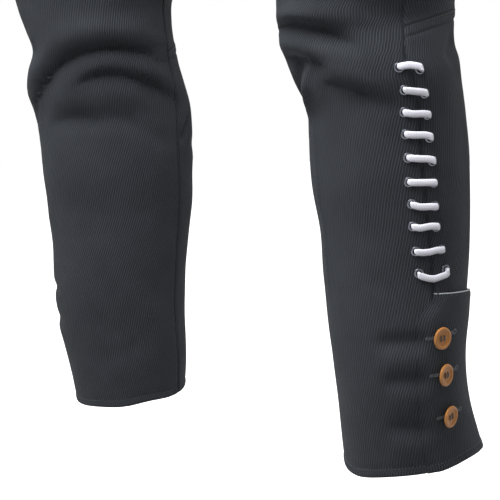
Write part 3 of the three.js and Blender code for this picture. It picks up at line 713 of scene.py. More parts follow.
def thread_finish(name, colour):
    """Twisted sewing thread."""
    made = Shader(name, roughness=0.6, sheen_weight=0.2)
    ply = made.bands(made.place(), 0.0006, "DIAGONAL", 1.0, 200)
    return made.finish(made.blend(ply, rgba(colour, 0.7), rgba(colour, 1.25)), None, ply, 0.0001)


def braid_finish(name, lace):
    """White braid with a faint lavender cast, with painted shade between its strands and along the middle of
    each face.
    """
    made = Shader(name, roughness=0.8, sheen_weight=0.25, sheen_roughness=0.5, specular_ior_level=0.3)
    along = made.grain()
    strand_and_shade = made.node("ShaderNodeAttribute", {"attribute_name": "strand_and_shade"}).outputs["Fac"]
    fibre = made.noise(along, 2600, 3, 0.6)
    hue = made.noise(along, 160, 2)
    # Painted shade: the lace is made darker where its relief lies low, between the strands and in the groove
    # along each face.
    colour = made.blend(strand_and_shade, rgba(lace.colour, 0.74), rgba(lace.colour))
    colour = made.blend(made.math("MULTIPLY", fibre, 0.25), colour, rgba(lace.colour, 0.86))
    colour = made.blend(made.math("MULTIPLY", hue, 0.25), colour, (0.72, 0.70, 0.88, 1))
    return made.finish(colour, None, fibre, 0.00012)


def gunmetal_finish(name, lace):
    """Dull dark metal with lighter worn patches."""
    made = Shader(name, metallic=1.0, roughness=0.35)
    place = made.place()
    worn = made.noise(place, 420, 4, 0.6)
    scratch = made.noise(place, 2200, 2, 0.7)
    colour = made.blend(worn, rgba(lace.metal, 0.75), rgba(lace.metal, 1.7))
    return made.finish(colour, made.between(worn, 0.22, 0.48), scratch, 0.00003)


def wood_finish(name, buttons):
    """Oiled wood, its grain running across the button."""
    made = Shader(name, coat_weight=0.08, coat_roughness=0.3, roughness=0.55, specular_ior_level=0.3)
    place = made.grain()
    swirl = made.noise(place, 140, 3, 0.6)
    rings = made.bands(place, 0.0023, "X", 5.0, 260)
    stretched = made.node("ShaderNodeMapping", Vector=place, Scale=(9.0, 1.0, 1.0)).outputs["Vector"]
    pores = made.noise(stretched, 520, 3, 0.7)
    dark = rgba(buttons.colour, 0.48)
    colour = made.blend(made.math("MULTIPLY", rings, 0.55), rgba(buttons.colour, 1.25), dark)
    colour = made.blend(made.math("MULTIPLY", swirl, 0.5), colour, rgba((0.40, 0.14, 0.02)))
    colour = made.blend(made.math("MULTIPLY", pores, 0.35), colour, rgba(buttons.colour, 0.3))
    return made.finish(colour, made.between(pores, 0.34, 0.6), made.math("ADD", rings, pores), 0.00006)


def painted_hole_shade_finish(name):
    """Painted shade for an eyelet's hole: a near-black disc on the unpunched cloth, in place of the shadowed
    inside of the leg.
    """
    made = Shader(name, roughness=0.9, specular_ior_level=0.1)
    # Random speckle in the painted shade's dark colour and in its relief.
    shade_speckle = made.noise(made.place(), 900, 3, 0.6)
    colour = made.blend(shade_speckle, (0.003, 0.003, 0.004, 1), (0.010, 0.010, 0.012, 1))
    return made.finish(colour, None, shade_speckle, 0.0001)


def edge_finish(name, cloth_settings):
    """Pale woven edge."""
    made = Shader(name, roughness=0.75, sheen_weight=0.3)
    weave = made.noise(made.place(), 1500, 3, 0.6)
    pale = cloth_settings.edge_colour
    return made.finish(made.blend(weave, rgba(pale, 0.75), rgba(pale, 1.2)), None, weave, 0.0001)


def cloth_material(context):
    return material("whipcord", whipcord, context.scene.jodhpurs_cloth)


def thread_material(context):
    return material("thread", thread_finish, context.scene.jodhpurs_stitches.colour)


# ---------------------------------------------------------------- meshes


def add_object(name, mesh):
    made = bpy.data.objects.new(name, mesh)
    bpy.context.scene.collection.objects.link(made)
    return made


def mesh_object(name, places, faces, finish, uv=None, crisp=None):
    """An object from places in millimetres, faces, and one grain coordinate for each face corner."""
    mesh = bpy.data.meshes.new(name)
    faces = faces.tolist() if isinstance(faces, np.ndarray) else faces
    mesh.from_pydata((np.asarray(places).reshape(-1, 3) * MM).tolist(), [], faces)
    mesh.materials.append(finish)
    mesh.shade_smooth()
    if uv is not None:
        layer = mesh.uv_layers.new(name="grain")
        layer.data.foreach_set("uv", np.asarray(uv, np.float32).ravel())
    if crisp is not None:
        mesh.set_sharp_from_angle(angle=math.radians(crisp))
    return add_object(name, mesh)


def shell_faces(rows, columns, flip):
    """Faces of a closed wall between an outer and an inner grid."""
    size = rows * columns
    r, c = np.meshgrid(np.arange(rows - 1), np.arange(columns - 1), indexing="ij")
    a = (r * columns + c).ravel()
    outer = np.stack([a, a + 1, a + columns + 1, a + columns], axis=1)
    inner = outer[:, ::-1] + size
    first = np.arange(rows - 1) * columns
    last = first + columns - 1
    start = np.stack([first + size, first, first + columns, first + columns + size], axis=1)
    end = np.stack([last, last + size, last + columns + size, last + columns], axis=1)
    low = np.arange(columns - 1)
    high = low + (rows - 1) * columns
    bottom = np.stack([low + size, low + 1 + size, low + 1, low], axis=1)
    top = np.stack([high, high + 1, high + 1 + size, high + size], axis=1)
    faces = np.concatenate([outer, inner, start, end, bottom, top])
    return faces[:, ::-1] if flip else faces


def travel(path):
    """Distance travelled at each point of a path."""
    return np.concatenate([[0], np.cumsum(np.linalg.norm(np.diff(path, axis=0), axis=1))])


def places_at(at, travelled, path):
    """Places at some distances along a path."""
    return np.stack([np.interp(at, travelled, column) for column in path.T], axis=1)


def grain_of(grid, side, lean):
    """Grain coordinates of a grid of places, in metres, with the ribs leaning over by some degrees."""
    steps = np.linalg.norm(np.diff(grid, axis=1), axis=-1)
    across = np.concatenate([np.zeros((len(grid), 1)), np.cumsum(steps, axis=1)], axis=1)
    middle = grid.shape[1] // 2
    across = HAND[side] * (across - across[:, middle:middle + 1])
    along = travel(grid[:, middle])[:, None] + 0 * across
    angle = np.radians(lean) * np.ones_like(along)
    u = across * np.cos(angle) - along * np.sin(angle)
    v = across * np.sin(angle) + along * np.cos(angle)
    return np.stack([u, v], axis=-1) * MM


def shell(name, outer, inner, side, finish, grain):
    """A closed cloth wall between two grids of places, in millimetres."""
    faces = shell_faces(*outer.shape[:2], side == "right")
    flat = grain.reshape(-1, 2)
    places = np.concatenate([outer.reshape(-1, 3), inner.reshape(-1, 3)])
    corners = np.concatenate([flat, flat])[faces.ravel()]
    return mesh_object(name, places, faces, finish, corners, CLOTH_CRISP)


def dense(stations, step):
    """Smooth curves through the columns of a station table, about `step` apart along the first three."""
    stations = np.asarray(stations, float)
    before, after = 2 * stations[:1] - stations[1:2], 2 * stations[-1:] - stations[-2:-1]
    padded = np.concatenate([before, stations, after])
    rows = []
    for a, b, c, d in zip(padded, padded[1:], padded[2:], padded[3:]):
        count = max(int(np.linalg.norm((c - b)[:3]) / step), 2)
        t = np.linspace(0, 1, count, endpoint=False)[:, None]
        square, cube = 2 * a - 5 * b + 4 * c - d, 3 * b - a - 3 * c + d
        rows.append(0.5 * (2 * b + (c - a) * t + square * t**2 + cube * t**3))
    return np.concatenate([*rows, stations[-1:]])


def sweep(name, stations, sides, finish, relief=None):
    """A closed cord through stations: place, wide direction, half its width and half its thickness.

    relief(travelled, turn) gives how far its surface stands out and how light it is painted: lower values
    put painted shade between a braid's strands."""
    path, wide = stations[:, :3], stations[:, 3:6]
    half_wide, half_thick = stations[:, 6], stations[:, 7]
    along = unit(np.gradient(path, axis=0))
    wide = unit(wide - along * (along * wide).sum(axis=1, keepdims=True))
    thick = np.cross(along, wide)
    travelled = travel(path)
    turn = np.linspace(0, 2 * np.pi, sides, endpoint=False)
    raised, strand_and_shade = relief(travelled[:, None], turn[None]) if relief else (0, 1)
    reach_wide = ((half_wide[:, None] + raised) * np.cos(turn))[..., None]
    reach_thick = ((half_thick[:, None] + raised) * np.sin(turn))[..., None]
    places = path[:, None] + wide[:, None] * reach_wide + thick[:, None] * reach_thick
    ring, k = np.meshgrid(np.arange(len(path) - 1), np.arange(sides), indexing="ij")
    a, b = ring * sides + k, ring * sides + (k + 1) % sides
    faces = np.stack([a, b, b + sides, a + sides], axis=-1).reshape(-1, 4).tolist()
    faces += [list(range(sides))[::-1], list(range(sides * (len(path) - 1), sides * len(path)))]
    flat = np.stack(np.broadcast_arrays(travelled[:, None], 3 * turn / np.pi), axis=-1)
    flat = flat.reshape(-1, 2) * MM
    made = mesh_object(name, places, faces, finish, flat[np.concatenate(faces)])
    # How light the material paints each point: a braid's relief lowers it between the strands as painted
    # shade; other cords get 1.
    layer = made.data.attributes.new("strand_and_shade", "FLOAT", "POINT")
    layer.data.foreach_set("value", np.broadcast_to(strand_and_shade, places.shape[:2]).ravel().astype(np.float32))
    return made


def lathe(profile, sides):
    """Places and faces of a turned body from its axis at the bottom to its axis at the top."""
    profile = np.asarray(profile, float)
    turn = np.linspace(0, 2 * np.pi, sides, endpoint=False)
    rings = [points(r * np.cos(turn), r * np.sin(turn), z) for r, z in profile[1:-1]]
    places = np.concatenate([[(0, 0, profile[0, 1])], *rings, [(0, 0, profile[-1, 1])]])
    faces = []
    for k in range(sides):
        following = (k + 1) % sides
        faces.append([0, 1 + following, 1 + k])
        for ring in range(len(rings) - 1):
            a, b = 1 + ring * sides + k, 1 + ring * sides + following
            faces.append([a, b, b + sides, a + sides])
        last = 1 + (len(rings) - 1) * sides
        faces.append([last + k, last + following, len(places) - 1])
    return places, faces


# ---------------------------------------------------------------- geometry node trees


class Tree(Nodes):
    """A geometry node tree with named inputs, which ends in Realize Instances and Set Material."""

    def __init__(self, name, **sizes):
        super().__init__(bpy.data.node_groups.new(name, "GeometryNodeTree"))
        face = self.tree.interface
        face.new_socket("Geometry", in_out="INPUT", socket_type="NodeSocketGeometry")
        face.new_socket("Geometry", in_out="OUTPUT", socket_type="NodeSocketGeometry")
        for label, value in sizes.items():
            socket = face.new_socket(label, in_out="INPUT", socket_type="NodeSocketFloat")
            socket.default_value = value
        face.new_socket("Material", in_out="INPUT", socket_type="NodeSocketMaterial")
        self.inputs = self.tree.nodes.new("NodeGroupInput").outputs

    def direction(self, label):
        named = self.node("GeometryNodeInputNamedAttribute", {"data_type": "FLOAT_VECTOR"}, Name=label)
        return named.outputs["Attribute"]

    def facing(self, axis, vector, rotation=None):
        """A rotation that points an axis along a vector, on top of another rotation if one is given."""
        inputs = {"Vector": vector} if rotation is None else {"Vector": vector, "Rotation": rotation}
        return self.node("FunctionNodeAlignRotationToVector", {"axis": axis}, **inputs).outputs[0]

    def finish(self, points, instance, rotation):
        placed = self.node(
            "GeometryNodeInstanceOnPoints", Points=points, Instance=instance, Rotation=rotation
        ).outputs[0]
        real = self.node("GeometryNodeRealizeInstances", Geometry=placed).outputs[0]
        soft = self.node("GeometryNodeSetShadeSmooth", Geometry=real).outputs[0]
        done = self.node("GeometryNodeSetMaterial", Geometry=soft, Material=self.inputs["Material"])
        self.node("NodeGroupOutput", Geometry=done.outputs[0])
        return self.tree


def bead_tree():
    """Long beads on given points, lying along the attribute "along" with their backs to "out"."""
    made = Tree("beads", Length=0.0023, Thickness=0.0005)
    bead = made.node("GeometryNodeMeshUVSphere", Segments=6, Rings=5, Radius=0.5).outputs["Mesh"]
    size = made.node("ShaderNodeCombineXYZ", X=made.inputs["Length"], Y=made.inputs["Thickness"],
                     Z=made.inputs["Thickness"]).outputs[0]
    bead = made.node("GeometryNodeTransform", Geometry=bead, Scale=size).outputs[0]
    turned = made.facing("Z", made.direction("out"), made.facing("X", made.direction("along")))
    return made.finish(made.inputs["Geometry"], bead, turned)


def ring_tree():
    """Rolled rims on given points, facing along the attribute "out"."""
    made = Tree("rings", Radius=0.0035, Rim=0.00085, Height=0.001)
    line = made.node("GeometryNodeCurvePrimitiveCircle", Resolution=40, Radius=made.inputs["Radius"])
    section = made.node("GeometryNodeCurvePrimitiveCircle", Resolution=12, Radius=1.0).outputs["Curve"]
    size = made.node("ShaderNodeCombineXYZ", X=made.inputs["Rim"], Y=made.inputs["Height"], Z=1.0)
    section = made.node("GeometryNodeTransform", Geometry=section, Scale=size.outputs[0]).outputs[0]
    ring = made.node("GeometryNodeCurveToMesh", Curve=line.outputs["Curve"], Profile_Curve=section)
    turned = made.facing("Z", made.direction("out"))
    return made.finish(made.inputs["Geometry"], ring.outputs[0], turned)


def plug_tree():
    """Flat round plugs on given points, facing along the attribute "out"."""
    made = Tree("plugs", Radius=0.0032, Height=0.0004)
    plug = made.node("GeometryNodeMeshCylinder", Vertices=24, Radius=made.inputs["Radius"],
                     Depth=made.inputs["Height"]).outputs["Mesh"]
    turned = made.facing("Z", made.direction("out"))
    return made.finish(made.inputs["Geometry"], plug, turned)


TREES = {"beads": bead_tree, "rings": ring_tree, "plugs": plug_tree}


def grow(name, kind, places, directions, finish, **sizes):
    """Grows a node tree's shapes on places in millimetres and keeps the result as a plain mesh."""
    points_mesh = bpy.data.meshes.new(f"{name}_points")
    points_mesh.from_pydata((np.asarray(places) * MM).tolist(), [], [])
    for label, vectors in directions.items():
        layer = points_mesh.attributes.new(label, "FLOAT_VECTOR", "POINT")
        layer.data.foreach_set("vector", np.asarray(vectors, np.float32).ravel())
    holder = add_object(f"{name}_points", points_mesh)
    tree = bpy.data.node_groups.get(kind) or TREES[kind]()
    modifier = holder.modifiers.new("grow", "NODES")
    modifier.node_group = tree
    sizes["Material"] = finish
    for socket in tree.interface.items_tree:
        if socket.in_out == "INPUT" and socket.name in sizes:
            modifier[socket.identifier] = sizes[socket.name]
    grown = bpy.data.meshes.new_from_object(holder.evaluated_get(bpy.context.evaluated_depsgraph_get()))
    grown.name = name
    bpy.data.objects.remove(holder)
    return add_object(name, grown)


def stitch_row(path, outs, pitch):
    """Points, directions and outward directions of the stitches along a path, in millimetres."""
    travelled = travel(path)
    at = np.arange(pitch / 2, travelled[-1], pitch)
    ahead = places_at(at + STITCH_PROBE, travelled, path)
    before = places_at(at - STITCH_PROBE, travelled, path)
    return places_at(at, travelled, path), unit(ahead - before), unit(places_at(at, travelled, outs))


def spread(first, last, spacing, start_edge=True, end_edge=True):
    """Rows from one level to another, with an edge's close steps at either end."""
    lead = first + EDGE_STEPS if start_edge else np.array([first])
    tail = last - EDGE_STEPS[::-1] if end_edge else np.array([last])
    count = max(int(round((tail[0] - lead[-1]) / spacing)), 1)
    return np.concatenate([lead[:-1], np.linspace(lead[-1], tail[0], count + 1), tail[1:]])


def panel_turns(levels, start, end, columns):
    """Turns of a panel's columns at each level, with an edge's close steps at both seams."""
    around = 2 * np.pi * leg_radius(0, np.minimum(levels, FORK))[:, None]
    gap = JOIN / around
    first = np.where((levels[:, None] > FORK) & (start == 0), 0, start + gap)
    last = np.where((levels[:, None] > FORK) & (end == 1), 1, end - gap)
    edge = EDGE_STEPS[None] / around
    inner = np.linspace(0, 1, columns)[None]
    middle = (first + edge[:, -1:]) * (1 - inner) + (last - edge[:, -1:]) * inner
    return np.concatenate([first + edge[:, :-1], middle, (last - edge[:, ::-1])[:, 1:]], axis=1)


def seam_roll(distance, depth):
    """How far the cloth rolls in beside a seam, with a faint welt where its turned edge lies under it."""
    welt = TURNED_EDGE["share"] * depth * bell(distance - TURNED_EDGE["off"], TURNED_EDGE["half"])
    return -depth * bell(distance, ROLL) + welt


def hem_form(level, height):
    """A turned hem: full in its band, pulled in where it is sewn, and round at the fold."""
    band = HEM["full"] * smooth(level / 1.5) * (1 - smooth((level - height + 1.2) / 1.2))
    return band - HEM["sewn"] * bell(level - height, 1.0) - HEM["fold"] * bell(level, 0.9)


# ---------------------------------------------------------------- operators


class PieceOperator(bpy.types.Operator):
    """Base of the operators, which all make pieces that ride on the garment's one body"""

    bl_options = {"REGISTER", "UNDO"}

    @staticmethod
    def hand_over(piece, slot, *nodes):
        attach(piece, "root")
        if nodes:
            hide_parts(*nodes)
        return piece

    def sew(self, context, node, outer, inner, grain, side="left"):
        """A cloth piece in the place of one node of the solid model."""
        piece = shell(f"{node}_cloth", outer, inner, side, cloth_material(context), grain)
        return self.hand_over(piece, "twill", node)


class JODHPURS_OT_legs(PieceOperator):
    """Sews the front, back and calf panels of both legs"""

    bl_idname = "jodhpurs.legs"
    bl_label = "Legs"

    def execute(self, context):
        for side in SIDES:
            for name in PANELS:
                self.panel(context, name, side)
        return {"FINISHED"}

    @staticmethod
    def levels(low, high, spacing):
        if high <= FINE_TOP:
            return spread(low, high, spacing)
        fine = spread(low, FINE_TOP, spacing, end_edge=False)
        return np.concatenate([fine[:-1], spread(FINE_TOP, high, 2 * spacing, start_edge=False)])

    @staticmethod
    def edge_form(name, grid_turn, level, settings):
        """What seams, hem and welt add to a panel's face."""
        start, end = PANELS[name]["turns"]
        around = 2 * np.pi * leg_radius(0, np.minimum(level, FORK))
        depth = settings.seam_depth / MM
        beside = np.minimum(grid_turn - start, end - grid_turn) * around
        offset = seam_roll(beside, depth)
        at_slit = smooth((level - SLIT[0]) / SLIT_FADE) * (1 - smooth((level - SLIT[1]) / SLIT_FADE))
        offset = offset - SLIT_DEPTH * at_slit * bell(np.abs(grid_turn - 0.5) * around, ROLL)
        if name == "back":
            above = level - KNEE_SEAM
            welt = (1 - smooth((above - KNEE_WELT) / 1.5)) * (1 - bell(above, ROLL))
            return offset + seam_roll(above, KNEE_ROLL[name] * depth) + WELT_LIFT * welt
        offset = offset + hem_form(level, settings.hem / MM)
        if name == "calf":
            offset = offset + seam_roll(KNEE_SEAM - level, KNEE_ROLL[name] * depth)
        return offset

    def panel(self, context, name, side):
        settings = context.scene.jodhpurs_cloth
        shape = PANELS[name]
        levels = self.levels(*shape["levels"], settings.spacing / MM)
        turns = panel_turns(levels, *shape["turns"], shape["columns"])
        level = np.broadcast_to(levels[:, None], turns.shape)
        relief = self.edge_form(name, turns, level, settings)
        outer = cloth(side, turns, risen(turns, level), relief)
        inner = cloth(side, turns, risen(turns, level), -settings.thickness / MM)
        grain = grain_of(outer, side, shape["lean"])
        if name == "back":
            low = np.searchsorted(levels, KNEE_SEAM + KNEE_WELT)
            grain[:low] = grain_of(outer, side, WELT_LEAN)[:low]
        piece = self.sew(context, f"{name}_{side}", outer, inner, grain, side)


def tab_top(angle):
    """The tab's top edge, which falls towards the back."""
    return TAB["top"] - TAB["fall"] * np.maximum(angle - TAB["front"] - TAB["corner_reach"], 0)


def tab_lift(angle):
    """How far the tab's face lies from the leg's cloth, below its corner."""
    share = smooth(np.radians(angle - TAB["front"]) * TAB["radius"] / TAB["ease"])
    return mix(TAB["eased"] + TAB["thin"], TAB["lift"] + CLOTH, share)


class JODHPURS_OT_tabs(PieceOperator):
    """Sews the tab that closes each cuff, with the pale edge along its top"""

    bl_idname = "jodhpurs.tabs"
    bl_label = "Cuff tabs"

    COLUMNS = 46
    EDGE = {"half_wide": 0.75, "half_thick": 0.55, "sides": 8}

    def execute(self, context):
        for side in SIDES:
            self.tab(context, side)
        return {"FINISHED"}

    def tab(self, context, side):
        settings = context.scene.jodhpurs_cloth
        shares = spread(0, TAB["top"], settings.spacing / MM)[:, None] / TAB["top"]
        turned = smooth((shares - TAB["corner"]) / (1 - TAB["corner"]))
        first = TAB["front"] + TAB["corner_reach"] * turned
        edge = np.degrees(EDGE_STEPS / TAB["radius"])
        inner = np.linspace(0, 1, self.COLUMNS)[None]
        middle = (first + edge[-1]) * (1 - inner) + TAB["back"] * inner
        angle = np.concatenate([first + edge[:-1], middle], axis=1)
        level = shares * tab_top(angle)
        turns = beside(side, level, angle)
        eased = smooth(np.radians(angle - first) * TAB["radius"] / TAB["ease"])
        relief = seam_roll(tab_top(angle) - level, 0.7) + hem_form(level, settings.hem / MM)
        lift = mix(TAB["eased"], TAB["lift"], eased) + 0 * level
        outer = cloth(side, turns, level, lift + mix(TAB["thin"], CLOTH, eased) + relief)
        wall = cloth(side, turns, level, lift)
        piece = self.sew(context, f"tab_{side}", outer, wall, grain_of(outer, side, CUT_LEAN), side)
        piping = self.piping(context, side, outer, wall)

    def piping(self, context, side, outer, wall):
        """A narrow pale edge along the tab's top."""
        path = outer[-1, 2:] * 0.8 + wall[-1, 2:] * 0.2
        out = unit(outer[-1, 2:] - wall[-1, 2:])
        rises = unit(outer[-1, 2:] - outer[-3, 2:])
        halves = np.broadcast_to([self.EDGE["half_wide"], self.EDGE["half_thick"]], (len(path), 2))
        stations = np.concatenate([path + rises * 0.2, out, halves], axis=1)
        finish = material("edge", edge_finish, context.scene.jodhpurs_cloth)
        piece = sweep(f"tab_{side}_edge", stations, self.EDGE["sides"], finish)
        return self.hand_over(piece, "twill")


class JODHPURS_OT_waist(PieceOperator):
    """Sews the waistband, which laps left over right, and the fly"""

    bl_idname = "jodhpurs.waist"
    bl_label = "Waistband and fly"

    BAND_COLUMNS = 300
    FLY_COLUMNS = 15
    HALVINGS = 24
    ALLOWANCE = 4
    ROLLS = {"below": 0.9, "above": 0.7, "end": 0.8, "fly": 0.8}  # how far the cloth rolls in at its edges

    def execute(self, context):
        self.waistband(context)
        self.fly(context)
        return {"FINISHED"}

    def waistband(self, context):
        settings = context.scene.jodhpurs_cloth
        levels = spread(BAND_BOTTOM + SEAM, LENGTH, settings.spacing / MM)[:, None]
        degrees = np.linspace(BAND["start"], BAND["end"], self.BAND_COLUMNS)[None]
        relief = seam_roll(levels - levels[0], self.ROLLS["below"])
        relief = relief + seam_roll(LENGTH - levels, self.ROLLS["above"])
        relief = relief - self.ROLLS["end"] * bell(degrees - BAND["start"], 0.5)
        outer = waist_place(degrees, levels, BAND["lift"] + relief)
        wall = waist_place(degrees, levels, BAND["lift"] - BAND["cloth"] + 0 * relief)
        piece = self.sew(context, "waistband", outer, wall, grain_of(outer, "left", CUT_LEAN))

    def turn_at(self, x, level):
        """How far round the front a place x from the centre front lies."""
        near = np.zeros(x.shape)
        far = np.full(x.shape, 0.5)
        for _ in range(self.HALVINGS):
            middle = (near + far) / 2
            short = form("left", middle, level)[..., 0] < x
            near = np.where(short, middle, near)
            far = np.where(short, far, middle)
        return near

    def fly_grid(self, levels, shares, lift):
        """Places of the fly: share 0 at its right edge and 1 at its left, which curves in to the seam."""
        opened = np.minimum((levels - FLY["bottom"]) / FLY["curve"], 1)
        left = np.maximum(FLY["left"] * np.sqrt(np.maximum(1 - (1 - opened) ** 2, 0)), FLY["right"])
        x = -FLY["right"] + (left + FLY["right"]) * shares
        level = np.broadcast_to(levels, x.shape)
        turn = np.sign(x) * self.turn_at(np.abs(x), level)
        return form("left", turn, level) + outward("left", turn, level) * np.asarray(lift)[..., None]

    def fly(self, context):
        settings = context.scene.jodhpurs_cloth
        levels = spread(FLY["bottom"], BAND_BOTTOM - 1, settings.spacing / MM, end_edge=False)[:, None]
        inner = np.linspace(0.1, 0.9, self.FLY_COLUMNS)
        shares = np.concatenate([[0, 0.02, 0.05], inner, [0.95, 0.98, 1]])
        wide = FLY["left"] + FLY["right"]
        edge = np.minimum(np.minimum(shares, 1 - shares)[None] * wide, levels - FLY["bottom"])
        lift = FLY["lift"] + CLOTH - self.ROLLS["fly"] * bell(edge, ROLL)
        outer = self.fly_grid(levels, shares[None], lift)
        wall = self.fly_grid(levels, shares[None], FLY["lift"] + 0 * lift)
        piece = self.sew(context, "fly", outer, wall, grain_of(outer, "left", CUT_LEAN))


def waist_place(degrees, level, lift):
    """Places round the waistband, which dips under its own start at its far end."""
    dip = smooth((degrees - BAND["dip"]) / (BAND["under"] - BAND["dip"])) * (BAND["cloth"] + SEAM)
    angle = np.radians(degrees)
    wide = read(HIP_SECTIONS, "wide", level)
    deep = read(HIP_SECTIONS, "deep", level)
    normal = unit(points(np.sin(angle) / wide, -np.cos(angle) / deep, 0 * angle * level))
    y = read(HIP_SECTIONS, "y", level) - deep * np.cos(angle)
    place = points(wide * np.sin(angle), y, level - LENGTH)
    return place + normal * np.asarray(lift - dip)[..., None]


class JODHPURS_OT_eyelets(PieceOperator):
    """Sets the rolled eyelets on both sides of each slit, with a dark disc of painted shade in each hole"""

    bl_idname = "jodhpurs.eyelets"
    bl_label = "Eyelets"

    RIM = 0.0009  # half the width of the rolled rim, in metres
    RIM_LIFT = 0.35
    HOLE_LIFT = 0.1

    def execute(self, context):
        lace = context.scene.jodhpurs_lace
        metal = material("gunmetal", gunmetal_finish, lace)
        dark = material("hollow", painted_hole_shade_finish)
        for side in SIDES:
            seats = eyelet_seats(side)
            rows = len(seats["front"])
            nodes = [f"eyelet_{side}_{edge}_{row + 1}" for edge in seats for row in range(rows)]
            seats = seats["front"] + seats["back"]
            outs = {"out": [seat.out for seat in seats]}
            places = [seat.at(0, 0, self.RIM_LIFT) for seat in seats]
            rims = grow(f"eyelets_{side}_rims", "rings", places, outs, metal,
                        Radius=lace.eyelet / 2 - self.RIM, Rim=self.RIM, Height=0.00085)
            self.hand_over(rims, "eyelet", *nodes)
            # Dark discs inside the rims: painted shade where the holes would be, as the cloth under them is
            # not punched.
            places = [seat.at(0, 0, self.HOLE_LIFT) for seat in seats]
            holes = grow(f"eyelets_{side}_holes", "plugs", places, outs, dark,
                         Radius=lace.eyelet / 2 - 0.0012, Height=0.0006)
            self.hand_over(holes, "eyelet")
        return {"FINISHED"}


class JODHPURS_OT_laces(PieceOperator):
    """Threads a flat braided lace through each leg's eyelets"""

    bl_idname = "jodhpurs.laces"
    bl_label = "Laces"

    STEP = 0.36  # between two rings of its mesh
    SIDES = 22
    DRAWN = 1.45  # half width and thickness where it is drawn together
    OVER = 3.0  # from the cloth to its middle where it lies over the slit
    INSIDE = -5.4  # the same where it lies inside the leg
    TUCKED = 12

    def execute(self, context):
        lace = context.scene.jodhpurs_lace
        for side in SIDES:
            stations = dense(self.stations(side, lace), self.STEP)
            finish = material("braid", braid_finish, lace)
            piece = sweep(f"lace_{side}_braid", stations, self.SIDES, finish, self.braid(lace))
            self.hand_over(piece, "lace", f"lace_{side}")
        return {"FINISHED"}

    @staticmethod
    def braid(lace):
        """Two columns of slanting strands, which meet along the middle of either face."""
        def relief(travelled, turn):
            across = np.abs(np.cos(turn))
            upper = np.sign(np.sin(turn) + 1e-6)
            phase = travelled / (lace.braid / MM) + 1.15 * across * upper
            strand_and_shade = 0.5 + 0.5 * np.cos(2 * np.pi * phase)
            groove = bell(np.cos(turn), 0.16)
            # The lace is painted lighter where this is high: painted shade falls between the strands and in
            # the groove where the two columns meet.
            light = strand_and_shade ** 0.7 * (1 - 0.6 * groove)
            return 0.22 * light - 0.12, light
        return relief

    def stations(self, side, lace):
        """Out of one eyelet, over the slit into the other, and up inside the leg to the next row."""
        seats = eyelet_seats(side)
        flat = (lace.width / MM / 2, lace.thickness / MM / 2)
        drawn = (self.DRAWN, self.DRAWN)
        rows = []
        for row in range(len(LACING["first"]) - 1, -1, -1):
            front, back = seats["front"][row], seats["back"][row]
            ahead = unit(back.place - front.place)
            up = unit(front.up + back.up)
            out = unit(front.out + back.out)
            rise = [LACING[column][row] for column in ("first", "middle", "last")]
            over = [
                (mix(front.place, back.place, share) + up * rise[k] + out * self.OVER, up, flat)
                for k, share in enumerate((0.25, 0.5, 0.75))
            ]
            bar = [
                (front.at(0, 0, -1) + ahead * 0.6, front.up, drawn),
                (front.at(0, 0.2 * rise[0], 0.9) - ahead * 0.2, front.up, (2.3, 1.3)),
                (front.at(0, 0.5 * rise[0], 2.3) + ahead * 1.2, front.up, flat),
                *over,
                (back.at(0, 0.8 * rise[2], 2.8) - ahead * 1.4, back.up, flat),
                (back.at(0, 0.45 * rise[2], 2.3) + ahead * 0.7, back.up, (2.6, 1.2)),
                (back.at(0, 0.1 * rise[2] - 0.5, 0.9) + ahead * 1.4, back.up, (2.2, 1.3)),
                (back.at(0, -0.3, -1) + ahead * 0.3, back.up, drawn),
            ]
            inside = [(seat.at(0, 0, self.INSIDE), seat.around, drawn) for seat in (front, back)]
            bar = [inside[0], *bar, inside[1]]
            if row % 2 == 0:
                bar = bar[::-1]
            if row == len(LACING["first"]) - 1:
                seat = front if row % 2 else back
                bar.insert(0, (seat.at(0, -self.TUCKED, self.INSIDE), seat.around, drawn))
            if row == 0:
                bar.append((front.at(0, self.TUCKED, self.INSIDE), front.around, drawn))
            rows += bar
        return [[*place, *wide, *halves] for place, wide, halves in rows]


